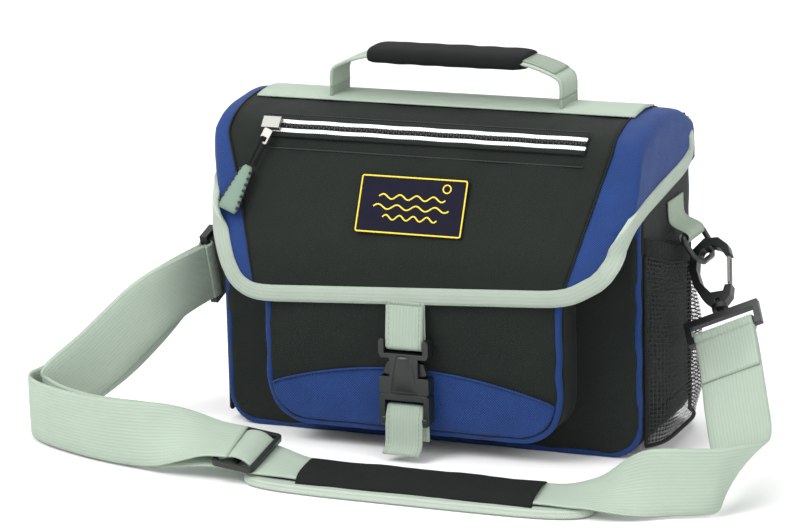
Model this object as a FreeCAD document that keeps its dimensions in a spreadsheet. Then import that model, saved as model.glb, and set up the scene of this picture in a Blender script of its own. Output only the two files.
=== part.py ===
"""Shoulder tackle bag: a soft case with a lift-up flap, front pocket, side nets and a clip-on strap.

X runs along the width (right side positive), the front faces -Y, Z is up, and the origin is the
middle of the resting base. Sizes are millimetres and live in the Sizes spreadsheet.
"""
import FreeCAD, Part
import Sketcher
import math
import os
import re

V = FreeCAD.Vector
doc = FreeCAD.newDocument("tackle_bag")

# ----------------------------------------------------------------------------- driving sizes
DIMENSIONS = {
    # case
    "bag_width": 280, "bag_depth": 100, "rim_height": 188, "fabric": 3, "piping": 5,
    "base_round": 20, "base_lap": 6, "rim_tape": 4, "board_thickness": 2.5, "board_gap": 2,
    # front pocket
    "pocket_width": 198, "pocket_depth": 30, "pocket_foot": 13, "pocket_top": 122,
    "pocket_round": 28, "wave_side": 39, "wave_round": 19, "wave_crown": 56, "overlay": 1.2,
    # side nets and their elastic hems
    "net_depth": 88, "net_foot": 8, "net_front_top": 129, "net_back_top": 108, "net_wall": 1.5,
    "net_bulge_right": 17, "net_bulge_left": 4, "hem_bulge": 7, "hem_height": 11,
    # flap
    "cover": 3, "side_gap": 1.3, "hinge_height": 197, "crown_height": 211, "shoulder_height": 202,
    "nose_height": 193, "knee_height": 130, "flap_edge": 97, "flap_reach": 35, "nose_reach": 5,
    "edge_half": 101, "seam_low": 102, "seam_high": 124, "tape_width": 10,
    "wing_front": 150, "wing_back": 167, "strip_width": 38, "strip_thickness": 1.2,
    # badge and zip on the flap
    "badge_width": 71, "badge_height": 37, "badge_drop": 54.5, "badge_thickness": 1.4,
    "zip_length": 214, "zip_width": 17, "zip_tape": 1, "coil_width": 4.5, "coil_height": 1.4,
    "slider_length": 12, "slider_width": 8, "slider_height": 4.4, "grip_length": 32,
    "grip_top": 7, "grip_bottom": 15, "grip_thickness": 5, "pull_cord": 2.2, "pull_reach": 20,
    # carrying handle
    "handle_half": 76, "handle_width": 30, "handle_rise": 26, "webbing": 2.2, "foot_rise": 8, "fold_slope": 0.35,
    "grip_half": 52, "grip_depth": 34, "grip_height": 11,
    # side release buckle
    "latch_width": 33, "latch_waist": 25, "latch_thickness": 8.5, "latch_top": 77,
    "latch_joint": 42, "latch_foot": 22, "front_strap": 25, "loop_bar": 3.2, "prong_rise": 20,
    # shoulder strap and fittings
    "strap_width": 40, "strap_thickness": 2, "ring_wire": 3.6, "ring_inside": 34,
    "ring_drop": 19, "tab_width": 30, "hook_height": 50, "hook_thickness": 7,
    "frame_width": 49, "frame_bar": 4.5, "frame_slot": 7, 
    "gate_wire": 1.8, "barrel": 10.4, "post": 4, "pad_length": 226, "pad_width": 54, "pad_thickness": 5,
    "sleeve_length": 152, "sleeve_width": 46, "tri_length": 28, "tri_width": 47, "tri_bar": 3,
    "clearance": 0.3,
}

sizes = doc.addObject("Spreadsheet::Sheet", "Sizes")
for row, (alias, number) in enumerate(DIMENSIONS.items(), start=1):
    sizes.set(f"A{row}", alias)
    sizes.set(f"B{row}", str(number))
    sizes.setAlias(f"B{row}", alias)
doc.recompute()


def bind(text):
    """A sheet expression: each size's name gets the sheet's name in front of it."""
    return re.sub(r"[a-z]+(_[a-z]+)*", lambda m: "Sizes." + m.group() if m.group() in DIMENSIONS
                  else m.group(), str(text))


def value(text):
    return float(sizes.evalExpression(bind(text)))


# Where the flap's outer skin turns, front (-Y) to back, as (y, z) expressions.
FRONT = "-bag_depth/2 - flap_reach"
NOSE = "-bag_depth/2 - nose_reach"
SKIN = [("bag_depth/2 - 1.5", "hinge_height + 2"), ("28", "crown_height - 3"),
        ("0", "crown_height"), ("-28", "crown_height - 3"), ("-47", "shoulder_height"),
        (NOSE, "nose_height"), (FRONT, "knee_height"), (FRONT, "flap_edge")]
LINING = [("bag_depth/2 - 1.5", "hinge_height - 1"), ("28", "crown_height - 3 - cover"),
          ("0", "crown_height - cover"), ("-28", "crown_height - 3 - cover"),
          ("-46", "shoulder_height - cover"), (NOSE + " + cover", "nose_height - cover/2"),
          (FRONT + " + cover", "knee_height - 0.6"), (FRONT + " + cover", "flap_edge")]
FLAP_HALF = "bag_width/2 + side_gap + cover - 1"


# ----------------------------------------------------------------------------- modelling helpers
def origin_plane(body, role):
    return next(item for item in body.Origin.OriginFeatures if item.Role == role)


def attach(sketch, body, plane, start):
    sketch.AttachmentSupport = [(origin_plane(body, plane + "_Plane"), "")]
    sketch.MapMode = "FlatFace"
    sketch.setExpression("AttachmentOffset.Base.z", bind(start))


def fix(sketch, kind, *place_and_text):
    """One dimensional constraint whose value is bound to the sheet."""
    *place, text = place_and_text
    index = sketch.addConstraint(Sketcher.Constraint(kind, *place, value(text)))
    sketch.setExpression(f"Constraints[{index}]", bind(text))


def draw_corners(sketch, corners):
    """A closed outline through corners given as (across, up, ...) expressions."""
    points = [V(value(c[0]), value(c[1]), 0) for c in corners]
    count = len(points)
    lines = [Part.LineSegment(points[i], points[(i + 1) % count]) for i in range(count)]
    sketch.addGeometry(lines, False)
    for i in range(count):
        sketch.addConstraint(Sketcher.Constraint("Coincident", i, 2, (i + 1) % count, 1))
    for i, corner in enumerate(corners):
        fix(sketch, "DistanceX", i, 1, corner[0])
        fix(sketch, "DistanceY", i, 1, corner[1])


def new_body(label):
    body = doc.addObject("PartDesign::Body", label)
    body.Label = label
    return body


def pad(body, plane, start, thickness, corners, name="Outline"):
    """A pad along the plane's normal (+Z, -Y or +X) from start, as thick as the expression."""
    sketch = body.newObject("Sketcher::SketchObject", name)
    attach(sketch, body, plane, start)
    draw_corners(sketch, corners)
    feature = body.newObject("PartDesign::Pad", "Pad")
    feature.Profile = sketch
    feature.setExpression("Length", bind(thickness))
    doc.recompute()
    return sketch


def round_corners(body, plane, corners):
    """Fillets the pad's edges that stand on the corners with a third, radius, expression."""
    across, up = {"XY": (0, 1), "XZ": (0, 2), "YZ": (1, 2)}[plane]
    groups = {}
    for corner in corners:
        if len(corner) == 3:
            groups.setdefault(corner[2], []).append((value(corner[0]), value(corner[1])))
    for radius, spots in groups.items():
        names = []
        for number, edge in enumerate(body.Shape.Edges, start=1):
            ends = [(v.Point[across], v.Point[up]) for v in edge.Vertexes]
            if any(all(math.dist(end, spot) < 0.01 for end in ends) for spot in spots):
                names.append(f"Edge{number}")
        sharp = body.Tip
        fillet = body.newObject("PartDesign::Fillet", "Round")
        fillet.Base = (sharp, names)
        fillet.setExpression("Radius", bind(radius))
        body.Tip = fillet
        doc.recompute()


def plate(label, plane, start, thickness, corners):
    """A flat piece with rounded corners: the commonest sub-part of the bag."""
    body = new_body(label)
    pad(body, plane, start, thickness, corners)
    round_corners(body, plane, corners)
    return body


def cut(body, plane, start, depth, corners):
    """A pocket from start along the plane's normal; it has to take material away."""
    before = body.Shape.Volume
    sketch = body.newObject("Sketcher::SketchObject", "Opening")
    attach(sketch, body, plane, start)
    draw_corners(sketch, corners)
    pocket = body.newObject("PartDesign::Pocket", "Pocket")
    pocket.Profile = sketch
    pocket.Reversed = True
    pocket.setExpression("Length", bind(depth))
    body.Tip = pocket
    doc.recompute()
    if body.Shape.Volume >= before - 1e-6:
        raise ValueError(body.Label + ": a pocket removed nothing")


def box_corners(left, low, right, high, radius=None):
    tail = () if radius is None else (radius,)
    return [(left, low) + tail, (right, low) + tail, (right, high) + tail, (left, high) + tail]


def u_corners(half, low, top, wall, radius):
    """A U-shaped strip: outer half width, underside, top, wall and outer corner radius."""
    inner = f"{half} - {wall}"
    return [(f"-({half})", top), (f"-({half})", low, radius), (half, low, radius), (half, top),
            (inner, top), (inner, f"{low} + {wall}", f"{radius} - {wall}"),
            (f"-({inner})", f"{low} + {wall}", f"{radius} - {wall}"), (f"-({inner})", top)]


def u_piping(label, half, low, top, radius, forward):
    """Round piping along a U: down one side, across the foot and up the other side."""
    body = new_body(label)
    side, foot, rise, turn = value(half), value(low), value(top), value(radius)
    path = body.newObject("Sketcher::SketchObject", "Path")
    attach(path, body, "XZ", forward)
    arc = Part.ArcOfCircle
    path.addGeometry([
        Part.LineSegment(V(-side, rise, 0), V(-side, foot + turn, 0)),
        arc(Part.Circle(V(turn - side, foot + turn, 0), V(0, 0, 1), turn), math.pi, 1.5 * math.pi),
        Part.LineSegment(V(turn - side, foot, 0), V(side - turn, foot, 0)),
        arc(Part.Circle(V(side - turn, foot + turn, 0), V(0, 0, 1), turn), 1.5 * math.pi,
            2 * math.pi),
        Part.LineSegment(V(side, foot + turn, 0), V(side, rise, 0))], False)
    for kind, line in (("Vertical", 0), ("Horizontal", 2), ("Vertical", 4)):
        path.addConstraint(Sketcher.Constraint(kind, line))
    for first in range(4):
        path.addConstraint(Sketcher.Constraint("Tangent", first, 2, first + 1, 1))
    fix(path, "DistanceX", 0, 1, f"-({half})")
    fix(path, "DistanceX", 4, 2, half)
    fix(path, "DistanceY", 0, 1, top)
    fix(path, "DistanceY", 4, 2, top)
    fix(path, "DistanceY", 2, 1, low)
    fix(path, "Radius", 1, radius)
    fix(path, "Radius", 3, radius)
    ring = body.newObject("Sketcher::SketchObject", "Section")
    attach(ring, body, "XY", top)
    ring.addGeometry(Part.Circle(V(-side, -value(forward), 0), V(0, 0, 1), value("piping/2")), False)
    fix(ring, "DistanceX", 0, 3, f"-({half})")
    fix(ring, "DistanceY", 0, 3, f"-({forward})")
    fix(ring, "Radius", 0, "piping/2")
    pipe = body.newObject("PartDesign::AdditivePipe", "Pipe")
    pipe.Profile = ring
    pipe.Spine = (path, [])
    return body


def rod(body, across, up, radius, start, length):
    """Adds a round bar along X to a body: a pad of a circle on the YZ plane."""
    sketch = body.newObject("Sketcher::SketchObject", "Bar")
    attach(sketch, body, "YZ", start)
    centre = V(value(across), value(up), 0)
    sketch.addGeometry(Part.Circle(centre, V(0, 0, 1), value(radius)), False)
    fix(sketch, "DistanceX", 0, 3, across)
    fix(sketch, "DistanceY", 0, 3, up)
    fix(sketch, "Radius", 0, radius)
    feature = body.newObject("PartDesign::Pad", "BarPad")
    feature.Profile = sketch
    feature.setExpression("Length", bind(length))
    body.Tip = feature
    doc.recompute()


def extrude(label, plane, corners, start, length):
    """A loose extrusion used in booleans; plane gives the sketch's attitude."""
    turn = {"XZ": FreeCAD.Rotation(V(1, 0, 0), 90), "YZ": FreeCAD.Rotation(0.5, 0.5, 0.5, 0.5)}
    normal = {"XZ": V(0, -1, 0), "YZ": V(1, 0, 0)}[plane]
    sketch = doc.addObject("Sketcher::SketchObject", label + "_outline")
    sketch.Placement = FreeCAD.Placement(V(0, 0, 0), turn[plane])
    draw_corners(sketch, corners)
    block = doc.addObject("Part::Extrusion", label)
    block.Base = sketch
    block.DirMode = "Custom"
    block.Dir = normal
    block.Solid = True
    block.setExpression("LengthFwd", bind(f"{start} + {length}"))
    block.setExpression("LengthRev", bind(f"-({start})"))
    return block


def combine(kind, label, base, tool):
    result = doc.addObject("Part::" + kind, label)
    result.Base = base
    result.Tool = tool
    return result


def solid_feature(label, shape, placement=None):
    feature = doc.addObject("Part::Feature", label)
    feature.Shape = shape
    feature.Label = label
    if placement is not None:
        feature.Placement = placement
    return feature


# ----------------------------------------------------------------------------- case
def make_case():
    half, depth = "bag_width/2", "bag_depth/2"
    panel_half = "bag_width/2 - piping"
    for label, start, top in (("front_panel", depth + " - fabric", "rim_height"),
                              ("back_panel", "-bag_depth/2", "hinge_height - 2")):
        plate(label, "XZ", start, "fabric",
              [(f"-({panel_half})", "piping", "base_round - piping"),
               (panel_half, "piping", "base_round - piping"), (panel_half, top),
               (f"-({panel_half})", top)])
    for label, start in (("side_panel_left", "-bag_width/2"), ("side_panel_right", half + " - fabric")):
        plate(label, "YZ", start, "fabric",
              box_corners("piping - bag_depth/2", "base_round + base_lap", "bag_depth/2 - piping",
                          "rim_height"))
    plate("base_panel", "XZ", "piping - bag_depth/2", "bag_depth - 2*piping",
          u_corners(half, "0", "base_round + base_lap", "fabric", "base_round"))
    for label, forward in (("front_piping", "bag_depth/2 - piping/2"),
                           ("back_piping", "piping/2 - bag_depth/2")):
        u_piping(label, "bag_width/2 - piping/2", "piping/2", "rim_height",
                 "base_round - piping/2", forward)
    inner = "bag_width/2 - fabric"
    plate("rim_binding", "XY", "rim_height", "rim_tape",
          [(f"-({half})", f"{depth} - fabric"), (f"-({half})", f"-({depth})"),
           (half, f"-({depth})"), (half, f"{depth} - fabric"), (inner, f"{depth} - fabric"),
           (inner, f"fabric - {depth}"), (f"-({inner})", f"fabric - {depth}"),
           (f"-({inner})", f"{depth} - fabric")])
    board_half = "bag_width/2 - base_round - board_gap"
    plate("base_board", "XY", "fabric", "board_thickness",
          box_corners(f"-({board_half})", "piping + board_gap - bag_depth/2", board_half,
                      "bag_depth/2 - piping - board_gap"))


def make_pocket():
    half, foot = "pocket_width/2", "pocket_foot"
    front = "bag_depth/2 + pocket_depth"
    panel_half = "pocket_width/2 - piping"
    plate("pocket_panel", "XZ", front + " - fabric", "fabric",
          [(f"-({panel_half})", "pocket_foot + piping", "pocket_round - piping"),
           (panel_half, "pocket_foot + piping", "pocket_round - piping"),
           (panel_half, "pocket_top"), (f"-({panel_half})", "pocket_top")])
    plate("pocket_wave", "XZ", front, "overlay",
          [(f"-({panel_half})", "pocket_foot + piping", "wave_round"),
           (panel_half, "pocket_foot + piping", "wave_round"),
           (panel_half, "wave_side"), ("pocket_width/4", "wave_crown - 4"), ("0", "wave_crown"),
           ("-pocket_width/4", "wave_crown - 4"), (f"-({panel_half})", "wave_side")])
    plate("pocket_gusset", "XZ", "bag_depth/2", "pocket_depth - piping",
          u_corners(half, foot, "pocket_top", "fabric", "pocket_round"))
    u_piping("pocket_piping", "pocket_width/2 - piping/2", "pocket_foot + piping/2", "pocket_top",
             "pocket_round - piping/2", front + " - piping/2")


def make_nets():
    """Open-topped net pockets on both sides: fullest low down, drawn in by a hem that falls back."""
    deep, wall = "net_depth/2", "net_wall"
    above = "net_front_top + 60"
    for side, bulge in ((1, "net_bulge_right"), (-1, "net_bulge_left")):
        name = "right" if side > 0 else "left"
        sign = "" if side > 0 else "-"
        brim = "hem_bulge" if side > 0 else bulge
        full, drawn = f"bag_width/2 + {bulge}", f"bag_width/2 + {brim}"

        def belly(inset, near, low, high):
            return [(f"{sign}({x})", z) for x, z in (
                (near, low), (f"{full} - {inset} - {bulge}/3", low), (f"{full} - {inset}", "net_foot + 20"),
                (f"{full} - {inset}", "net_back_top - 38"), (f"{drawn} - {inset}", "net_back_top"),
                (f"{drawn} - {inset}", high), (near, high))]

        def band(inset, near, low, high):
            return [(f"{sign}({x})", z) for x, z in (
                (near, low), (f"{drawn} - {inset}", low), (f"{drawn} - {inset}", high), (near, high))]

        reach = "bag_width/2 - 5" if side > 0 else "-bag_width"
        net = new_body("mesh_pocket_" + name)
        pad(net, "XZ", f"-{deep}", "net_depth", belly("0", "bag_width/2", "net_foot", "net_front_top"))
        cut(net, "XZ", f"{wall} - {deep}", f"net_depth - 2*{wall}",
            belly(wall, "bag_width/2 - 1", f"net_foot + {wall}", above))
        cut(net, "YZ", reach, "bag_width/2 + 5",
            [(f"-{deep}", "net_front_top"), (deep, "net_back_top"), (deep, above), (f"-{deep}", above)])
        hem = new_body("elastic_" + name)
        pad(hem, "XZ", f"-{deep}", "net_depth",
            band("0", "bag_width/2", "net_back_top", "net_front_top + hem_height"))
        cut(hem, "XZ", f"{wall} - {deep}", f"net_depth - 2*{wall}",
            band(wall, "bag_width/2 - 1", "net_back_top - 5", above))
        cut(hem, "YZ", reach, "bag_width/2 + 5",
            [(f"-{deep}", "net_front_top + hem_height"), (deep, "net_back_top + hem_height"),
             (deep, above), (f"-{deep}", above)])
        cut(hem, "YZ", reach, "bag_width/2 + 5",
            [(f"-{deep}", "net_front_top"), (f"-{deep}", "net_foot"), (deep, "net_foot"),
             (deep, "net_back_top")])


# ----------------------------------------------------------------------------- flap
def flap_outline(rising):
    """The flap seen from the front: up to its full height, with the given corners below."""
    side = rising[0][0]
    return ([(f"-({side})", "crown_height + 20"), (side, "crown_height + 20")] + rising
            + [(f"-({x})", z) for x, z in reversed(rising)])


FREE_EDGE = [(FLAP_HALF, "wing_front - 5"), ("edge_half + 37", "flap_edge + 34"),
             ("edge_half + 25", "flap_edge + 12"), ("edge_half", "flap_edge")]
TAPE_EDGE = [(FLAP_HALF + " + 1", "wing_front + 8"), ("edge_half + 27.5", "flap_edge + 38"),
             ("edge_half + 17.5", "flap_edge + 19.5"), ("edge_half - 3", "flap_edge + tape_width")]


def make_flap():
    profile = SKIN + LINING[::-1]
    across = f"2*({FLAP_HALF})"
    sheet = extrude("flap_sheet", "YZ", profile, f"-({FLAP_HALF})", across)
    reach = "2*bag_depth"
    whole = extrude("flap_whole", "XZ", flap_outline(FREE_EDGE), "-bag_depth", reach + " + bag_depth")
    inside = extrude("flap_inside", "XZ", flap_outline(TAPE_EDGE), "-bag_depth",
                     reach + " + bag_depth")
    centre_block = extrude("flap_centre", "XZ",
                           [("-seam_high", "crown_height + 30"), ("seam_high", "crown_height + 30"),
                            ("seam_high", "nose_height"), ("seam_low", "flap_edge - 5"),
                            ("-seam_low", "flap_edge - 5"), ("-seam_high", "nose_height")],
                           "-bag_depth", reach + " + bag_depth")
    centre = combine("Common", "flap_middle_sheet", sheet, centre_block)
    panel = combine("Common", "flap_panel", centre, inside)
    panel.Label = "flap_panel"
    trimmed = combine("Common", "flap_trimmed", sheet, inside)
    wings = combine("Cut", "flap_wing_sheet", trimmed, centre_block)
    edged = combine("Common", "flap_edged", sheet, whole)
    front_tape = combine("Cut", "flap_front_tape", edged, inside)
    tapes, full_wings = [front_tape], []
    for side in (1, -1):
        name = "right" if side > 0 else "left"
        start = "bag_width/2 + side_gap" if side > 0 else f"-({FLAP_HALF})"
        edge = [("bag_depth/2 - 0.5", "wing_back"), (NOSE + " - 19", "wing_front")]
        roof = [(NOSE + " + cover", "nose_height - cover/2"), ("-46", "shoulder_height - cover"),
                ("-28", "crown_height - 3 - cover"), ("0", "crown_height - cover"),
                ("28", "crown_height - 3 - cover"), ("bag_depth/2 - 1.5", "hinge_height - 1")]
        cheek = extrude("cheek_" + name, "YZ",
                        [("bag_depth/2 - 0.5", "wing_back + tape_width"),
                         (NOSE + " - 12", "wing_front + tape_width")] + roof, start, "cover - 1")
        half_block = extrude("half_" + name, "XZ",
                             box_corners("0" if side > 0 else "-bag_width", "0",
                                         "bag_width" if side > 0 else "0", "2*crown_height"),
                             "-bag_depth", reach + " + bag_depth")
        own = combine("Common", "wing_top_" + name, wings, half_block)
        full_wings.append(combine("Fuse", "wing_full_" + name, own, cheek))
        tapes.append(extrude("cheek_tape_" + name, "YZ",
                             edge + [(NOSE + " - 12", "wing_front + tape_width"),
                                     ("bag_depth/2 - 0.5", "wing_back + tape_width")],
                             start, "cover - 1"))
    binding = doc.addObject("Part::MultiFuse", "flap_binding")
    binding.Shapes = tapes
    binding.Label = "flap_binding"
    for wing, name in zip(full_wings, ("right", "left")):
        combine("Cut", "wing_" + name, wing, binding).Label = "wing_" + name
    strip = [("-strip_width/2", "crown_height - 2.035"), ("0", "crown_height"),
             ("strip_width/2", "crown_height - 2.035"),
             ("strip_width/2", "crown_height - 2.035 + strip_thickness"),
             ("0", "crown_height + strip_thickness"),
             ("-strip_width/2", "crown_height - 2.035 + strip_thickness")]
    plate("top_strip", "YZ", "-seam_high", "2*seam_high", strip)


def on_slope(drop):
    """A point of the flap's sloping front, given its height below the nose."""
    slope = (value("flap_reach - nose_reach")) / (value("nose_height - knee_height"))
    return V(0, value(NOSE) - slope * drop, value("nose_height") - drop)


def slope_attitude():
    """Turns a piece drawn upright, facing -Y, to lie on the flap's sloping front."""
    lean = math.atan2(value("flap_reach - nose_reach"), value("nose_height - knee_height"))
    return FreeCAD.Rotation(V(1, 0, 0), -math.degrees(lean))


def shoulder_attitude():
    """Turns a piece drawn upright, facing -Y, to lie on the bevel above the flap's nose."""
    run, rise = value(f"{NOSE} + 47"), value("shoulder_height - nose_height")
    return FreeCAD.Rotation(V(1, 0, 0), -math.degrees(math.atan2(-run, rise)))


def make_badge_and_zip():
    seat = on_slope(value("badge_drop - badge_height/2"))
    badge = plate("badge", "XZ", "0", "badge_thickness",
                  box_corners("-badge_width/2", "-badge_height/2", "badge_width/2",
                              "badge_height/2", "1.5"))
    badge.Placement = FreeCAD.Placement(seat, slope_attitude())
    lane = V(0, value(f"({NOSE} - 47)/2"), value("(shoulder_height + nose_height)/2"))
    tape = plate("zip_tape", "XZ", "0", "zip_tape",
                 box_corners("-zip_length/2", "-zip_width/2", "zip_length/2", "zip_width/2"))
    coil = plate("zip_teeth", "XZ", "zip_tape", "coil_height",
                 box_corners("-zip_length/2", "-coil_width/2", "zip_length/2", "coil_width/2"))
    car = new_body("zip_slider")
    left = "-zip_length/2"
    pad(car, "XZ", "zip_tape + clearance", "slider_height",
        box_corners(left, "-slider_width/2", left + " + slider_length", "slider_width/2"))
    cut(car, "XZ", "zip_tape", "coil_height + 2*clearance",
        box_corners(left + " - 1", "-coil_width/2 - clearance", left + " + slider_length + 1",
                    "coil_width/2 + clearance"))
    for piece in (tape, coil, car):
        piece.Placement = FreeCAD.Placement(lane, shoulder_attitude())


def make_puller():
    """Metal tab, two cords and the tapered rubber grip, lying on the flap's sloping front."""
    slope = slope_attitude()
    seat = slope.multVec(V(0, value("-grip_thickness/2 - 3.1"), 1.1))
    top = V(value("-zip_length/2 + slider_length/2"), 0, 0) + on_slope(0) + seat
    lean = FreeCAD.Rotation(V(0, 1, 0), value("pull_reach"))
    attitude = FreeCAD.Placement(top, slope.multiply(lean))
    tab = plate("zip_tab", "XZ", "-0.8", "1.6", box_corners("-3", "-9", "3", "1", "1.2"))
    cut(tab, "XZ", "-2", "4", box_corners("-1.7", "-7.6", "1.7", "-4.6"))
    thick, knots = value("pull_cord/2"), [V(-1.2, -1.95, -6.1), V(1.2, 1.95, -6.1)]
    legs = [Part.makeCylinder(thick, 17.5, knot, V(0, 0, -1)) for knot in knots]
    through = Part.makeCylinder(thick, (knots[1] - knots[0]).Length, knots[0], knots[1] - knots[0])
    ends = [Part.makeSphere(thick, knot) for knot in knots]
    cord = solid_feature("pull_cord", through.fuse(legs + ends).removeSplitter())
    bottom = "-24 - grip_length"
    grip = plate("pull_grip", "XZ", "-grip_thickness/2", "grip_thickness",
                 [("-grip_top/2", "-24", "2"), ("-grip_bottom/2", bottom, "3"),
                  ("grip_bottom/2", bottom, "3"), ("grip_top/2", "-24", "2")])
    for piece in (tab, cord, grip):
        piece.Placement = attitude


def make_handle():
    """Webbing arch with a padded sleeve; it swings about an X axis through its sewn feet."""
    width = "handle_width"
    foot = "crown_height + strip_thickness + clearance/10"
    for side in (-1, 1):
        leg = "handle_half" if side > 0 else "-handle_half - webbing"
        name = "right" if side > 0 else "left"
        shoulder = foot + f" + foot_rise - fold_slope*{width}/2"
        plate("handle_foot_" + name, "YZ", leg, "webbing",
              [(f"-{width}/2", foot + f" - 3/56*{width}"), ("0", foot),
               (f"{width}/2", foot + f" - 3/56*{width}"), (f"{width}/2", shoulder),
               ("0", foot + " + foot_rise"), (f"-{width}/2", shoulder)])
    out, low = "handle_half + webbing", foot + " + foot_rise + clearance"
    elbow, top = "crown_height + handle_rise/2 + 4", "crown_height + handle_rise"
    inner = "handle_half"
    right = [(out, low), (out, elbow), ("grip_half + 4", top + " + webbing")]
    under = [("grip_half + 3", top), (inner, elbow + " - 1"), (inner, low)]
    outline = (right + [(f"-({x})", z) for x, z in reversed(right)]
               + [(f"-({x})", z) for x, z in reversed(under)] + under)
    arch = plate("handle_webbing", "XZ", f"-{width}/2", width, outline)
    reach, rise = f"{width}/2 + 1", low + f" + fold_slope*({width}/2 + 1)"
    cut(arch, "YZ", f"-({out}) - 1", f"2*({out}) + 2",
        [(f"-({reach})", low + " - 1"), (reach, low + " - 1"), (reach, rise), ("0", low),
         (f"-({reach})", rise)])
    sleeve = new_body("handle_grip")
    level = top + " + webbing/2"
    pad(sleeve, "XZ", "-grip_depth/2", "grip_depth",
        box_corners("-grip_half", f"{level} - grip_height/2", "grip_half", f"{level} + grip_height/2"))
    cut(sleeve, "XZ", "-handle_width/2 - clearance", "handle_width + 2*clearance",
        box_corners("-grip_half - 1", top + " - clearance", "grip_half + 1",
                    top + " + webbing + clearance"))


# ----------------------------------------------------------------------------- front buckle
BUCKLE_BACK = "bag_depth/2 + flap_reach - 1"
PRONG_MID = "5.5"


def make_buckle():
    outer, waist = "latch_width/2", "latch_waist/2"
    strap = "front_strap/2"
    sock = [(f"-({outer})", "latch_joint + clearance", "1.5"), (outer, "latch_joint + clearance", "1.5"),
            (outer, "latch_joint + 10"), (waist, "latch_joint + 17"), (outer, "latch_top - 9"),
            (outer, "latch_top", "2"), (f"-({outer})", "latch_top", "2"),
            (f"-({outer})", "latch_top - 9"), (f"-({waist})", "latch_joint + 17"),
            (f"-({outer})", "latch_joint + 10")]
    socket = plate("buckle_socket", "XZ", BUCKLE_BACK, "latch_thickness", sock)
    over = "latch_thickness + 2"
    cut(socket, "XZ", BUCKLE_BACK + " - 1", over,
        box_corners(f"-({strap}) - 0.4", "latch_top - 9", f"{strap} + 0.4", "latch_top + 5"))
    cut(socket, "XZ", BUCKLE_BACK + " + 2", "latch_thickness - 4",
        box_corners("-latch_width/2 + 2.2", "latch_joint - 1", "latch_width/2 - 2.2",
                    "latch_joint + prong_rise + 2"))
    for side in ("-1", "1"):
        cut(socket, "XZ", BUCKLE_BACK + " - 1", over,
            [(f"{side}*(latch_waist/2 - 3)", "latch_joint + 11"),
             (f"{side}*latch_width", "latch_joint + 11"),
             (f"{side}*latch_width", "latch_joint + prong_rise + 3"),
             (f"{side}*(latch_waist/2 - 3)", "latch_joint + prong_rise + 3")])
    middle = f"-({BUCKLE_BACK}) - latch_thickness/2"
    rod(socket, middle, "latch_top - 4", "loop_bar/2", "2 - latch_width/2", "latch_width - 4")
    bar_line = V(0, value(middle), value("latch_top - 4"))
    wrap_strap("socket_strap", bar_line, value("flap_edge"))

    body_low, body_top = "latch_foot", "latch_joint"
    plug_body = plate("buckle_plug", "XZ", BUCKLE_BACK, "latch_thickness",
                      box_corners(f"-({outer})", body_low, outer, body_top, "2.5"))
    cut(plug_body, "XZ", BUCKLE_BACK + " - 1", over,
        box_corners(f"-({strap}) - 0.4", "latch_foot + 4", f"{strap} + 0.4", "latch_joint - 4"))
    pad(plug_body, "XZ", BUCKLE_BACK + " + 2.6", "latch_thickness - 5.2",
        box_corners("-2.5", "latch_joint - 1", "2.5", "latch_joint + prong_rise - 4"), "Tongue")
    rod(plug_body, middle, "(latch_foot + latch_joint)/2", "loop_bar/2", "2 - latch_width/2",
        "latch_width - 4")
    for side in (-1, 1):
        name = "right" if side > 0 else "left"
        root = ("latch_joint + clearance", "latch_joint + prong_rise")
        sign = "" if side > 0 else "-"
        plate("prong_" + name, "XZ", BUCKLE_BACK + " + 2.6", "latch_thickness - 5.2",
              [(f"{sign}{PRONG_MID}", root[0]), (f"{sign}9.5", root[0]),
               (f"{sign}9.5", "latch_joint + 11.5"), (f"{sign}14.5", "latch_joint + 12.5", "1"),
               (f"{sign}12", root[1], "2"), (f"{sign}{PRONG_MID}", root[1])])


def wrap_strap(label, bar_line, far):
    """A short strap that hangs from the flap's edge and loops round the socket's bar."""
    width = value("front_strap")
    thick = value("strap_thickness") * 0.75
    inner = value("loop_bar/2 + clearance")
    ring = Part.makeCylinder(inner + thick, width, bar_line - V(width / 2, 0, 0), V(1, 0, 0))
    hole = Part.makeCylinder(inner, width, bar_line - V(width / 2, 0, 0), V(1, 0, 0))
    rise = far - bar_line.z
    strap_plate = Part.makeBox(width, thick, rise, V(-width / 2, bar_line.y + inner, bar_line.z))
    return solid_feature(label, ring.cut(hole).fuse(strap_plate).removeSplitter())


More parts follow.
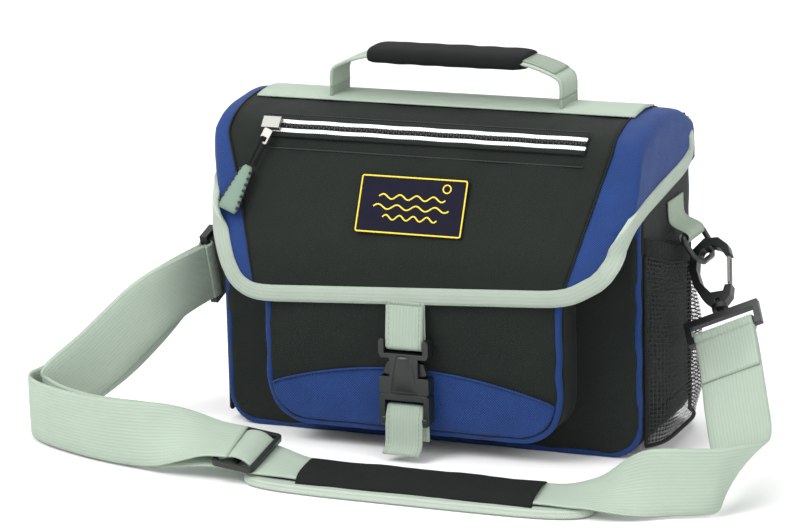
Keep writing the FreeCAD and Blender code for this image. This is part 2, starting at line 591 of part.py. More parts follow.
def make_lower_strap():
    """Sewn under the pocket's foot, up behind the plug, round its bar, and down to a free tail."""
    width = value("front_strap")
    thick = value("strap_thickness") * 0.75
    back = value(f"-({BUCKLE_BACK}) - latch_thickness/2")
    bar_height = value("(latch_foot + latch_joint)/2")
    inner = value("loop_bar/2 + clearance")
    seam_y = value("-bag_depth/2 - pocket_depth - overlay - clearance")
    low = value("pocket_foot - 3")
    outer = inner + thick

    def layer(points):
        face = Part.Face(Part.makePolygon([V(-width / 2, y, z) for y, z in points + points[:1]]))
        return face.extrude(V(width, 0, 0))

    gap, foot_bar = value("clearance"), value("latch_foot + 4")
    behind = value(f"-({BUCKLE_BACK})") + gap
    before = value(f"-({BUCKLE_BACK}) - latch_thickness") - gap
    rising = layer([(back + inner, bar_height), (back + outer, bar_height),
                    (behind + thick, foot_bar), (seam_y, low + 12), (seam_y, low),
                    (seam_y - thick, low), (seam_y - thick, low + 12), (behind, foot_bar)])
    tail = layer([(back - outer, bar_height), (before - thick, foot_bar), (before - thick, 9.6),
                  (before - 8, 6.2), (before - 8, 4.7), (before, 8), (before, foot_bar),
                  (back - inner, bar_height)])
    ring = Part.makeCylinder(outer, width, V(-width / 2, back, bar_height), V(1, 0, 0))
    hole = Part.makeCylinder(inner, width, V(-width / 2, back, bar_height), V(1, 0, 0))
    top_half = Part.makeBox(width, 4 * outer, 2 * outer, V(-width / 2, back - 2 * outer, bar_height))
    loop = ring.cut(hole).common(top_half)
    return solid_feature("lower_strap", loop.fuse(rising).fuse(tail).removeSplitter())


# ----------------------------------------------------------------------------- strap fittings
def frame_of(up, across):
    """Rotation whose local Z is up and whose local X is nearest to across."""
    z_axis = V(*up).normalize()
    x_axis = V(*across) - z_axis * V(*across).dot(z_axis)
    x_axis.normalize()
    y_axis = z_axis.cross(x_axis)
    return FreeCAD.Rotation(x_axis, y_axis, z_axis, "ZXY")


# Each side: ring hinge centre, ring's bar direction, where the ring reaches, hook's axis (from the
# strap frame towards the ring), hook's sideways direction and the frame's long direction.
FITTINGS = {
    "right": {"bar": (152.5, 14, 131), "along": (0, 1, 0), "reach": (0.55, 0, -0.835),
              "hook_up": (-0.37, 0.60, 0.68), "hook_side": (0.91, 0.15, 0.39), "seat": 35.6,
              "frame_side": (0.91, 0.15, 0.39), "wall": 0.1},
    "left": {"bar": (-148.5, 39, 112), "along": (0, 0, 1), "reach": (-0.5, -0.866, 0),
             "hook_up": (0, 0.96, 0.28), "hook_side": (-1, 0, 0), "seat": 37.9,
             "frame_side": (0, -0.28, 0.96), "wall": 4.1},
}


def tube_loop(label, rotation, centre, width, drop, wire, corner):
    """A closed ring of round wire: a rectangle with rounded corners, its top side centred."""
    half = width / 2
    path = rounded_path([V(0, 0, 0), V(half, 0, 0), V(half * 0.95, 0, -drop * 0.7),
                         V(half * 0.45, 0, -drop), V(-half * 0.45, 0, -drop),
                         V(-half * 0.95, 0, -drop * 0.7), V(-half, 0, 0), V(0, 0, 0)], corner)
    start = path.Edges[0]
    circle = Part.Wire(Part.makeCircle(wire / 2, start.valueAt(start.FirstParameter),
                                       start.tangentAt(start.FirstParameter)))
    shell = Part.BRepOffsetAPI.MakePipeShell(path)
    shell.add(circle)
    shell.build()
    shell.makeSolid()
    return solid_feature(label, shell.shape(), FreeCAD.Placement(centre, rotation))


def rounded_path(points, limit=None):
    """Straight runs joined by tangent arcs, each as large as its two runs allow."""
    edges = []
    radii = []
    here = points[0]
    for before, corner, after in zip(points, points[1:], points[2:]):
        into, out = corner - before, after - corner
        turn = into.getAngle(out)
        trim = 0.45 * min(into.Length, out.Length)
        if limit is not None:
            trim = min(trim, limit * math.tan(turn / 2))
        start = corner - into * (trim / into.Length)
        finish = corner + out * (trim / out.Length)
        radius = trim / math.tan(turn / 2)
        inward = (out * (1 / out.Length) - into * (1 / into.Length)).normalize()
        middle = corner + inward * (radius / math.cos(turn / 2) - radius)
        edges.append(Part.LineSegment(here, start).toShape())
        edges.append(Part.Arc(start, middle, finish).toShape())
        radii.append(radius)
        here = finish
    edges.append(Part.LineSegment(here, points[-1]).toShape())
    path = Part.Wire(edges)
    if limit is None:
        print("radii", [round(r, 1) for r in radii], "length", round(path.Length, 1))
    return path


def make_fittings():
    """Rings, hooks and frames of both ends; returns where each frame's foot takes the strap."""
    feet = {}
    for name, fit in FITTINGS.items():
        side = 1 if name == "right" else -1
        ring_turn = frame_of([-c for c in fit["reach"]], fit["along"])
        bar = V(*fit["bar"])
        tube_loop("d_ring_" + name, ring_turn, bar, value("ring_inside + ring_wire"),
                  value("ring_drop"), value("ring_wire"), 3.0)
        make_tab(name, fit, bar, side)
        hook_turn = frame_of(fit["hook_up"], fit["hook_side"])
        ring_foot = bar + V(*fit["reach"]).normalize() * value("ring_drop")
        barrel = ring_foot - hook_turn.multVec(V(-1, 0, fit["seat"]))
        make_hook(name, FreeCAD.Placement(barrel, hook_turn))
        frame_turn = frame_of(fit["hook_up"], fit["frame_side"])
        feet[name] = make_frame(name, FreeCAD.Placement(barrel, frame_turn))
    return feet


def make_tab(name, fit, bar, side):
    """Webbing tab folded round the ring's straight side and sewn to the side panel."""
    width = value("tab_width")
    inner = value("ring_wire/2 + clearance")
    outer = inner + value("strap_thickness") * 0.75
    along = V(*fit["along"])
    start = bar - along * (width / 2)
    loop = Part.makeCylinder(outer, width, start, along).cut(
        Part.makeCylinder(inner, width, start, along))
    wall = side * (value("bag_width/2") + fit["wall"])
    thick = value("strap_thickness")
    grow = V(0, 0, 1) if name == "right" else V(0, 1, 0)
    reach = 18 if name == "right" else 5
    sewn_from = bar + grow * outer
    low = V(wall if side > 0 else wall - thick, start.y, start.z) + grow * (outer + 1)
    spans = (thick, width, reach) if name == "right" else (thick, reach, width)
    sewn = Part.makeBox(*spans, low)
    neck = [V(wall, start.y, start.z) + grow * (outer + 1),
            V(wall + side * thick, start.y, start.z) + grow * (outer + 3),
            V(sewn_from.x + side * 1.2, start.y, start.z) + grow * (outer - 1.2),
            V(sewn_from.x - side * 1.2, start.y, start.z) + grow * (outer - 1.2)]
    bridge = Part.Face(Part.makePolygon(neck + neck[:1])).extrude(along * width)
    bridge = bridge.cut(Part.makeCylinder(inner, width, start, along))
    return solid_feature("ring_loop_" + name, sewn.fuse([bridge, loop]).removeSplitter())


# The hook in its own plane: X to the gate's side, Z up from the swivel barrel.
HOOK_OUTLINE = [(-4, 0), (-9, 7), (-13, 19), (-13.5, 32), (-9.5, 43), (0, 48.5), (9, 46),
                (14, 39), (14.5, 32), (11, 32), (9, 38), (3.5, 42), (-2.5, 41.5), (-7, 36),
                (-8.8, 29), (-8, 19), (-3, 10), (5, 8.4), (7, 12), (11, 11), (9, 4), (4, 0)]
GATE_FOOT, GATE_TIP = (9.4, 13.1), (12.7, 30.7)


def make_hook(name, place):
    thick = value("hook_thickness")
    scale = value("hook_height") / 50
    corners = [V(x * scale, -thick / 2, z * scale) for x, z in HOOK_OUTLINE]
    body = Part.Face(Part.makePolygon(corners + corners[:1])).extrude(V(0, thick, 0))
    room = value("post/2 + clearance")
    barrel = Part.makeCylinder(value("barrel/2"), 3.5, V(0, 0, -2.5), V(0, 0, 1))
    bore = Part.makeCylinder(room, 8, V(0, 0, -6), V(0, 0, 1))
    head_room = Part.makeCylinder(room + 1.3, 3.4, V(0, 0, 1.2), V(0, 0, 1))
    solid_feature("hook_" + name, body.fuse(barrel).cut(bore.fuse(head_room)).removeSplitter(), place)
    foot = V(GATE_FOOT[0] * scale, 0, GATE_FOOT[1] * scale)
    tip = V(GATE_TIP[0] * scale, 0, GATE_TIP[1] * scale)
    wire = value("gate_wire/2")
    legs = [Part.makeCylinder(wire, (tip - foot).Length, foot + V(0, y, 0), tip - foot)
            for y in (-2, 2)]
    bridges = [Part.makeCylinder(wire, 4, end - V(0, 2, 0), V(0, 1, 0)) for end in (foot, tip)]
    solid_feature("gate_" + name, legs[0].fuse([legs[1]] + bridges).removeSplitter(), place)


def make_frame(name, place):
    """Strap frame with the swivel post: a slotted bar, the post and its retaining head."""
    half, bar, slot = value("frame_width/2"), value("frame_bar"), value("frame_slot")
    neck, gap = 4.2, value("clearance")
    depth = value("hook_thickness") - 2
    tall = 2 * bar + slot
    outer = Part.makeBox(2 * half, depth, tall, V(-half, -depth / 2, -neck - tall))
    hole = Part.makeBox(2 * half - 1.7 * bar, depth + 2, slot,
                        V(0.85 * bar - half, -depth / 2 - 1, -neck - bar - slot))
    post = Part.makeCylinder(value("post/2"), neck + 4, V(0, 0, -neck - 1), V(0, 0, 1))
    head = Part.makeCylinder(value("post/2") + 1.1, 1.8, V(0, 0, 1.9), V(0, 0, 1))
    solid_feature("swivel_frame_" + name, outer.cut(hole).fuse([post, head]).removeSplitter(), place)
    return [place.multVec(V(0, side * value("strap_thickness") * 0.85, -neck - tall - 2 * gap))
            for side in (-1, 1)]


# ----------------------------------------------------------------------------- shoulder strap
# Points of the strap's middle line between its fittings, each with the way its width points.
MAIN_ROUTE = [
    ((189.5, -29.3, 69), (0.91, 0.15, 0.39)), ((195.5, -42, 60), (0.91, 0.15, 0.39)),
    ((205, -66, 49.5), (0.90, 0.2, 0.36)),
    ((217, -94, 37), (0.80, 0.25, 0.5)), ((228, -120, 26), (0.6, 0.2, 0.75)),
    ((222, -140, 22.5), (0.1, 0, 0.99)), ((204, -147, 22), (0, 0.1, 1)),
    ((184, -151, 21.5), (0, 0.25, 0.97)), ((164, -152.5, 17), (0, 0.75, 0.66)),
    ((146, -153, 11.8), (0, 0.97, 0.22)), ((122, -153, 7.6), (0, 1, 0)),
    ((80, -152.5, 7.5), (0, 1, 0)), ((40, -153.2, 7.5), (0, 1, 0)), ((4, -152.6, 7.5), (0, 1, 0)),
    ((-26, -152.2, 7.6), (0, 1, 0)), ((-48, -151.5, 7.9), (0, 1, 0)),
    ((-68, -151, 11.2), (0, 0.985, 0.17)), ((-98, -150.3, 14.6), (0, 0.97, 0.25)),
    ((-121, -151.2, 18.2), (0, 0.8, 0.6)), ((-148, -153.2, 20.8), (0, 0.25, 0.97)),
    ((-180, -150.8, 21.3), (0, 0.05, 1)), ((-206, -140.5, 21.5), (0, 0, 1)),
    ((-227, -127, 21.5), (0, 0, 1)), ((-240, -113, 22), (0, 0, 1)), ((-233, -101, 30), (0, 0, 1)),
    ((-214, -89, 46), (0, 0, 1)), ((-197, -77, 65), (0, 0, 1)), ((-181, -65, 82), (0, 0, 1)),
    ((-166, -49, 91), (0, -0.2, 0.98)),
]
RETURN_ROUTE = [
    ((-167.5, -45.5, 92.2), (0, -0.28, 0.96)), ((-177.5, -55, 85), (0, -0.2, 0.98)),
    ((-192.5, -64.5, 67), (0, 0, 1)), ((-212, -77.5, 44), (0, 0, 1)),
    ((-239, -98, 24), (0, 0, 1)), ((-252, -114, 21.5), (0, 0, 1)), ((-236, -132, 21.5), (0, 0, 1)),
    ((-208, -145.5, 21.5), (0, 0, 1)), ((-180, -154.6, 21.4), (0, 0.05, 1)),
    ((-148, -158, 21.8), (0, 0.25, 0.97)), ((-122, -155.3, 22.8), (0, 0.8, 0.6)),
    ((-104, -152, 21.8), (0, 0.97, 0.25)), ((-87, -150.5, 20.6), (0, 0.98, 0.2)),
]


def ribbon(label, route, width, thickness):
    """Webbing along straight runs and tangent arcs, its width turning from point to point."""
    points = [V(*place) for place, _ in route]
    path = rounded_path(points)
    widths = width_directions(points, [V(*across).normalize() for _, across in route])
    stations = [(path.Edges[0], 0.0)]
    for number, edge in enumerate(path.Edges):
        shares = (0.5, 1.0) if number % 2 else (1.0,)
        stations += [(edge, share) for share in shares]
    rings = []
    for edge, share in stations:
        first, last = edge.ParameterRange
        spot = edge.valueAt(first + share * (last - first))
        tangent = edge.tangentAt(first + share * (last - first))
        across = width_at(spot, points, widths)
        across = (across - tangent * across.dot(tangent)).normalize()
        normal = tangent.cross(across).normalize()
        side, up = across * (width / 2), normal * (thickness / 2)
        rings.append([spot - side - up, spot + side - up, spot + side + up, spot - side + up])
    faces = [Part.Face(Part.makePolygon(ring + ring[:1])) for ring in (rings[0], rings[-1])]
    for here, after in zip(rings, rings[1:]):
        for i in range(4):
            faces.append(Part.makeRuledSurface(Part.makeLine(here[i], here[(i + 1) % 4]),
                                               Part.makeLine(after[i], after[(i + 1) % 4])))
    shell = Part.makeShell(faces)
    shell.sewShape()
    solid = Part.makeSolid(Part.makeShell(shell.Faces))
    if solid.Volume < 0:
        solid.reverse()
    print(label, "volume share", round(solid.Volume / (path.Length * width * thickness), 3))
    return solid_feature(label, solid)


def width_directions(points, hints):
    """At a sharp turn the webbing's width stands square to the turn; elsewhere it is as given."""
    widths = list(hints)
    for i in range(1, len(points) - 1):
        into, out = points[i] - points[i - 1], points[i + 1] - points[i]
        if math.degrees(into.getAngle(out)) > 30:
            square = into.cross(out).normalize()
            widths[i] = square if square.dot(hints[i]) > 0 else square * -1
    return widths


def width_at(spot, points, widths):
    """The width's direction at a spot: blended between the ends of the nearest run."""
    best = None
    for i in range(len(points) - 1):
        run = points[i + 1] - points[i]
        share = max(0.0, min(1.0, (spot - points[i]).dot(run) / run.Length ** 2))
        gap = (spot - (points[i] + run * share)).Length
        if best is None or gap < best[0]:
            best = (gap, i, share)
    _, i, share = best
    return widths[i] * (1 - share) + widths[i + 1] * share


def make_strap(feet):
    width, thick = value("strap_width"), value("strap_thickness")
    sides = {name: FITTINGS[name]["frame_side"] for name in FITTINGS}
    main = ([(feet["right"][0], sides["right"])] + MAIN_ROUTE + [(feet["left"][1], sides["left"])])
    ribbon("strap_main", main, width, thick)
    ribbon("strap_return", [(feet["left"][0], sides["left"])] + RETURN_ROUTE, width, thick)


def make_pad():
    """Shoulder pad, its edge binding and the sleeve that the strap runs through."""
    half, wide = "pad_length/2", "pad_width/2"
    corner = "pad_width/2 - 4"
    shift = FreeCAD.Placement(V(35, -153, 0), FreeCAD.Rotation())
    inner_half, inner_wide = half + " - 8", wide + " - 6"
    core = plate("shoulder_pad", "XY", "clearance", "pad_thickness",
                 box_corners(f"-({inner_half})", f"-({inner_wide})", inner_half, inner_wide,
                             "pad_width/2 - 10"))
    edge = plate("pad_binding", "XY", "clearance", "pad_thickness",
                 box_corners(f"-({half})", f"-({wide})", half, wide, corner))
    cut(edge, "XY", "-1", "pad_thickness + 3",
        box_corners(f"-({inner_half})", f"-({inner_wide})", inner_half, inner_wide))
    sleeve = new_body("pad_sleeve")
    top, room = "pad_thickness + clearance", "strap_thickness + 7*clearance"
    long_half, side = "sleeve_length/2", "sleeve_width/2"
    pad(sleeve, "XY", top, room + " + 1.2",
        box_corners(f"-({long_half})", f"-({side})", long_half, side))
    cut(sleeve, "XY", top + " - 1", room + " + 1",
        box_corners(f"-({long_half}) - 1", f"-({side}) + 1.2", f"{long_half} + 1", f"{side} - 1.2"))
    for piece in (core, edge, sleeve):
        piece.Placement = shift


def make_slider():
    """Three-bar slider lying tilted on the strap, where the strap's sewn end comes back to it."""
    long_half, wide = "tri_length/2", "tri_width/2"
    body = plate("strap_slider", "XY", "-tri_bar/2", "tri_bar",
                 box_corners(f"-({long_half})", f"-({wide})", long_half, wide, "4"))
    slot = "tri_width/2 - tri_bar"
    for left, right in (("-tri_length/2 + tri_bar", "-tri_bar/2"),
                        ("tri_bar/2", "tri_length/2 - tri_bar")):
        cut(body, "XY", "-tri_bar", "2*tri_bar", box_corners(left, f"-({slot})", right, slot))
    turn = frame_of((0.12, -0.2, 0.97), (0.99, 0, -0.12))
    body.Placement = FreeCAD.Placement(V(-81, -150.5, 16.2), turn)


def build():
    make_case()
    make_pocket()
    make_nets()
    make_flap()
    make_badge_and_zip()
    make_puller()
    make_handle()
    make_buckle()
    make_lower_strap()
    make_strap(make_fittings())
    make_pad()
    make_slider()


NODES = """
front_panel back_panel side_panel_left side_panel_right base_panel front_piping back_piping
rim_binding base_board pocket_panel pocket_wave pocket_gusset pocket_piping mesh_pocket_left
mesh_pocket_right elastic_left elastic_right ring_loop_left ring_loop_right flap_panel wing_left
wing_right flap_binding top_strip badge zip_tape zip_teeth zip_slider zip_tab pull_cord pull_grip
handle_foot_left handle_foot_right handle_webbing handle_grip socket_strap buckle_socket
lower_strap buckle_plug prong_left prong_right d_ring_left d_ring_right hook_left
hook_right gate_left gate_right swivel_frame_left swivel_frame_right strap_main strap_return
strap_slider shoulder_pad pad_binding pad_sleeve
""".split()


def check_and_write():
    doc.recompute()
    for item in doc.Objects:
        if "Invalid" in item.State or "Error" in item.State:
            raise ValueError(f"{item.Label}: {item.State}")
    by_label = {item.Label: item for item in doc.Objects}
    os.makedirs("parts", exist_ok=True)
    for node in NODES:
        shape = by_label[node].Shape
        if shape.isNull() or not shape.isValid() or not shape.Solids:
            raise ValueError(node + ": no valid solid")
        shape.exportStep(f"parts/{node}.step")
    print("wrote", len(NODES), "nodes")


build()
check_and_write()
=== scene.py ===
import math

import bmesh
import bpy
from mathutils import Matrix, Vector, noise


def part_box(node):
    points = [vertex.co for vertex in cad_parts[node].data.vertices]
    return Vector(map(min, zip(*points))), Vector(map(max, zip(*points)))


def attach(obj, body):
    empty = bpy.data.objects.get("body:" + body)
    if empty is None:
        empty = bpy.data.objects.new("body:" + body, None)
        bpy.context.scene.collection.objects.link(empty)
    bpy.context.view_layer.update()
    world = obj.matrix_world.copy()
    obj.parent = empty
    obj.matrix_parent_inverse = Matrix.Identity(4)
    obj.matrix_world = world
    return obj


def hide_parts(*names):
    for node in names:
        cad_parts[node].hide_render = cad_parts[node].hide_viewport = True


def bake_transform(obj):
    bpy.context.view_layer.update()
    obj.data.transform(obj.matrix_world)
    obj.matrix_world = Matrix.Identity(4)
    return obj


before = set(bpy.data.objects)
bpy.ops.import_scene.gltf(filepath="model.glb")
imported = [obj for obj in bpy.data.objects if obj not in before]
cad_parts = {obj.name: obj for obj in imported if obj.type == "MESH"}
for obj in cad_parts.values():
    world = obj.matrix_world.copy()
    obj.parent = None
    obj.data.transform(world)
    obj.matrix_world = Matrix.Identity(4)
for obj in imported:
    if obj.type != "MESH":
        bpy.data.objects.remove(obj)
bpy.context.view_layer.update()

# The bag's looks, drawn over its solids. Lengths are millimetres until a mesh is made.
MM = 0.001


def box_mm(node):
    low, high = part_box(node)
    return Vector(low) / MM, Vector(high) / MM


def lerp(a, b, t):
    return a + (b - a) * t


def clamp(x, low=0.0, high=1.0):
    return max(low, min(high, x))


def along_table(table, x):
    """Straight-line interpolation in a sorted list of (x, y) pairs."""
    if x <= table[0][0]:
        return table[0][1]
    for (x0, y0), (x1, y1) in zip(table, table[1:]):
        if x <= x1:
            return lerp(y0, y1, (x - x0) / (x1 - x0))
    return table[-1][1]


# ---- shader maths
class Shader:
    """One material; its methods return Value objects that carry ordinary arithmetic."""

    def __init__(self, name):
        self.material = bpy.data.materials.new(name)
        self.material.use_nodes = True
        self.tree = self.material.node_tree
        self.surface = self.tree.nodes["Principled BSDF"]

    def node(self, kind, inputs=None, output=0, **settings):
        made = self.tree.nodes.new(kind)
        for key, setting in settings.items():
            setattr(made, key, setting)
        for key, source in (inputs or {}).items():
            self.feed(made.inputs[key], source)
        return Value(self, made.outputs[output])

    def feed(self, socket, source):
        if isinstance(source, Value):
            self.tree.links.new(source.socket, socket)
        elif isinstance(source, (int, float)) and socket.type == "RGBA":
            socket.default_value = (source, source, source, 1.0)
        else:
            socket.default_value = source

    def place(self, source="Object"):
        xyz = self.node("ShaderNodeSeparateXYZ",
                        {0: self.node("ShaderNodeTexCoord", output=source)})
        return [Value(self, xyz.socket.node.outputs[i]) for i in range(3)]

    def noise(self, scale, detail=3.0, vector=None):
        inputs = {"Scale": scale, "Detail": detail}
        inputs["Vector"] = vector or self.node("ShaderNodeTexCoord", output="Object")
        return self.node("ShaderNodeTexNoise", inputs)

    def mix(self, share, a, b):
        mixer = self.tree.nodes.new("ShaderNodeMix")
        mixer.data_type = "RGBA"
        self.feed(mixer.inputs["Factor"], share)
        self.feed(mixer.inputs[6], a)
        self.feed(mixer.inputs[7], b)
        return Value(self, mixer.outputs[2])

    def finish(self, colour, roughness, height=None, bump=0.0005, bevel=0.0, **constants):
        self.feed(self.surface.inputs["Base Color"], colour)
        self.feed(self.surface.inputs["Roughness"], roughness)
        inputs = {}
        if bevel:
            inputs["Normal"] = self.node("ShaderNodeBevel", {"Radius": bevel}, samples=4)
        if height is not None:
            inputs.update({"Height": height, "Distance": bump, "Strength": 1.0})
            self.feed(self.surface.inputs["Normal"], self.node("ShaderNodeBump", inputs))
        elif bevel:
            self.feed(self.surface.inputs["Normal"], inputs["Normal"])
        for key, constant in constants.items():
            self.feed(self.surface.inputs[key.replace("_", " ")], constant)
        return self.material


class Value:
    """A shader output that can be added, scaled and compared."""

    def __init__(self, shader, socket):
        self.shader = shader
        self.socket = socket

    def math(self, operation, *others):
        inputs = {0: self}
        inputs.update({i + 1: other for i, other in enumerate(others)})
        return self.shader.node("ShaderNodeMath", inputs, operation=operation)

    def __add__(self, other):
        return self.math("ADD", other)

    def __sub__(self, other):
        return self.math("SUBTRACT", other)

    def __rsub__(self, other):
        return self.shader.node("ShaderNodeMath", {0: other, 1: self}, operation="SUBTRACT")

    def __mul__(self, other):
        return self.math("MULTIPLY", other)

    def __gt__(self, other):
        return self.math("GREATER_THAN", other)

    def __lt__(self, other):
        return self.math("LESS_THAN", other)

    def sine(self):
        return self.math("SINE")

    def size(self):
        return self.math("ABSOLUTE")

    def ramp(self, low, high):
        return self.shader.node("ShaderNodeMapRange", {0: self, 1: low, 2: high}, clamp=True)


def rgb(red, green, blue):
    """A display colour from 0 to 255 as the linear colour that shaders work in."""
    def linear(c):
        c /= 255
        return c / 12.92 if c <= 0.04045 else ((c + 0.055) / 1.055) ** 2.4
    return (linear(red), linear(green), linear(blue), 1.0)


def shade(colour, factor):
    return tuple(c * factor for c in colour[:3]) + (1.0,)


def woven(name, colour, pitch=1.5, roughness=0.75, bump=0.0004, crinkle=0.5, sheen=0.0):
    """Plain woven cloth: a fine over-and-under pattern and soft large creases."""
    s = Shader(name)
    x, y, z = s.place()
    turn = 2 * math.pi / (pitch * MM)
    weave = ((x + y * 0.9) * turn).sine() * ((z + y * 0.8) * turn).sine()
    creases = s.noise(28.0, 2.0)
    fine = s.noise(900.0, 2.0)
    height = weave * 0.35 + fine * 0.4 + creases * (6.0 * crinkle)
    dark, light = shade(colour, 0.4), shade(colour, 1.9)
    tone = (weave * 0.5 + 0.35) + s.noise(60.0, 3.0) * 0.3
    return s.finish(s.mix(tone, dark, light), roughness, height, bump, Sheen_Weight=sheen,
                    Specular_IOR_Level=0.22)


def webbing(name, colour, ribs=1.9, wide=40.0, stitched=True):
    """Woven strap: crosswise ribs with two lengthwise stitch rows; uv is metres along, across."""
    s = Shader(name)
    u, v, _ = s.place("UV")
    pitch = 2 * math.pi / (ribs * MM)
    chevron = (v * (wide * MM * 2.2)).size()
    rib = ((u + chevron) * pitch).sine()
    threads = (v * (wide * 3.0)).sine()
    edge = (v - 0.5).size() * 2.0
    height = rib * 0.5 + threads * 0.35 + s.noise(500.0, 2.0) * 0.5 - edge.ramp(0.9, 1.0) * 1.2
    tone = rib * 0.3 + threads * 0.1 + 0.42 + s.noise(45.0, 2.0) * 0.3
    result = s.mix(tone, shade(colour, 0.74), shade(colour, 1.12))
    if stitched:
        dash = ((u * (2 * math.pi / (3.2 * MM))).sine() > -0.55)
        row = ((edge - 0.8).size() < 0.025) * dash
        result = s.mix(row * 0.6, result, shade(colour, 0.5))
    return s.finish(result, 0.8, height, 0.00035)


def moulded(name, colour, roughness=0.42, grain=0.15, bevel=0.7, specular=0.5):
    """Moulded plastic with softened edges and a fine eroded texture."""
    s = Shader(name)
    fine = s.noise(1400.0, 2.0)
    tone = s.noise(40.0, 3.0)
    result = s.mix(tone, shade(colour, 0.85), shade(colour, 1.2))
    rough = s.noise(120.0, 2.0) * 0.12 + roughness
    return s.finish(result, rough, fine * grain, 0.0001, bevel=bevel * MM,
                    Specular_IOR_Level=specular)


def metal(name, colour, roughness=0.28):
    s = Shader(name)
    scratch = s.noise(350.0, 4.0)
    result = s.mix(scratch, shade(colour, 0.75), shade(colour, 1.1))
    return s.finish(result, scratch * 0.2 + roughness, scratch * 0.2, 0.0001,
                    bevel=0.4 * MM, Metallic=0.9)


def netting(name, colour, hole=5.2):
    """Open netting: round holes in staggered rows, cut out with alpha; uv in metres."""
    s = Shader(name)
    u, v, _ = s.place("UV")
    k = 2 * math.pi / (hole * MM)
    grid = (u * k).sine() * (v * k).sine()
    hole_mask = grid.size() > 0.2
    material = s.finish(shade(colour, 1.0), 0.8, grid, 0.0003)
    s.feed(s.surface.inputs["Alpha"], 1.0 - hole_mask)
    return material


DARK_CLOTH = rgb(17, 23, 19)
NAVY = rgb(22, 50, 102)
PALE = rgb(176, 192, 176)
MATERIALS = {
    "panel": woven("panel_cloth", DARK_CLOTH, 1.7, 0.72, sheen=0.03),
    "navy": woven("navy_cloth", NAVY, 1.7, 0.7, sheen=0.05),
    "binding": webbing("edge_tape", rgb(186, 200, 186), 1.2, 10, stitched=False),
    "strap": webbing("strap_webbing", PALE, 1.9, 40, stitched=False),
    "narrow": webbing("narrow_webbing", PALE, 1.6, 25),
    "tab": webbing("tab_webbing", rgb(160, 176, 158), 1.6, 30),
    "piping": woven("piping_cloth", rgb(22, 50, 102), 1.1, 0.6, crinkle=0.2),
    "sleeve": woven("sleeve_cloth", rgb(15, 18, 16), 1.4, 0.8),
    "foam": woven("pad_cloth", rgb(40, 44, 40), 2.6, 0.85, 0.0008),
    "elastic": woven("elastic_band", rgb(24, 28, 26), 2.2, 0.8, 0.0007),
    "net": netting("net_cloth", rgb(24, 29, 27)),
    "plastic": moulded("latch_plastic", rgb(22, 29, 25), 0.3),
    "black": moulded("black_plastic", rgb(16, 21, 18), 0.32),
    "grip": moulded("grip_rubber", rgb(104, 126, 112), 0.55),
    "rib": moulded("grip_ribs", rgb(24, 28, 26), 0.6),
    "steel": metal("zip_metal", rgb(140, 140, 136)),
    "coil": moulded("zip_coil", rgb(22, 24, 22), 0.5),
    "white": woven("reflective_tape", rgb(226, 230, 226), 1.2, 0.5, crinkle=0.2),
    "cord": woven("black_cord", rgb(20, 22, 20), 0.9, 0.8),
    "patch": moulded("badge_field", rgb(8, 8, 30), 0.6, 0.3, specular=0.15),
    "yellow": moulded("badge_trim", rgb(232, 205, 52), 0.5),
    "board": moulded("base_board", rgb(50, 52, 50), 0.6),
}


# ---- mesh helpers
def shown(name, mesh, material, smooth=True):
    """An object in the scene that shows a finished mesh."""
    mesh.polygons.foreach_set("use_smooth", [smooth] * len(mesh.polygons))
    obj = bpy.data.objects.new(name, mesh)
    bpy.context.collection.objects.link(obj)
    mesh.materials.append(MATERIALS[material])
    return obj


def make_object(name, verts, faces, material, uvs=None, smooth=True):
    """A closed mesh, faces outwards, from millimetre points; uvs are one pair per vertex."""
    mesh = bpy.data.meshes.new(name)
    mesh.from_pydata([tuple(v * MM) for v in verts], [], faces)
    if uvs is not None:
        layer = mesh.uv_layers.new(name="UVMap")
        for loop in mesh.loops:
            layer.data[loop.index].uv = uvs[loop.vertex_index]
    build = bmesh.new()
    build.from_mesh(mesh)
    bmesh.ops.recalc_face_normals(build, faces=build.faces)
    build.to_mesh(mesh)
    build.free()
    return shown(name, mesh, material, smooth)


def tangent_at(points, i):
    """Direction of a line of points at one of them, from its neighbours."""
    return (points[min(i + 1, len(points) - 1)] - points[max(i - 1, 0)]).normalized()


def ring_faces(count, ring, closed=False):
    """Quads between rings of points, one after another, with both ends capped unless closed."""
    faces = []
    for i in range(count if closed else count - 1):
        k = (i + 1) % count
        for j in range(ring):
            n = (j + 1) % ring
            faces.append((i * ring + j, i * ring + n, k * ring + n, k * ring + j))
    if not closed:
        faces += [tuple(range(ring)), tuple(range((count - 1) * ring, count * ring))]
    return faces


def grid_normals(rows):
    """Unit normals of a grid of points, from its neighbours in both directions."""
    count, width = len(rows), len(rows[0])
    normals = []
    for i in range(count):
        line = []
        for j in range(width):
            down = rows[min(i + 1, count - 1)][j] - rows[max(i - 1, 0)][j]
            across = rows[i][min(j + 1, width - 1)] - rows[i][max(j - 1, 0)]
            normal = across.cross(down)
            line.append(normal.normalized() if normal.length > 1e-9 else Vector((0, 0, 1)))
        normals.append(line)
    return normals


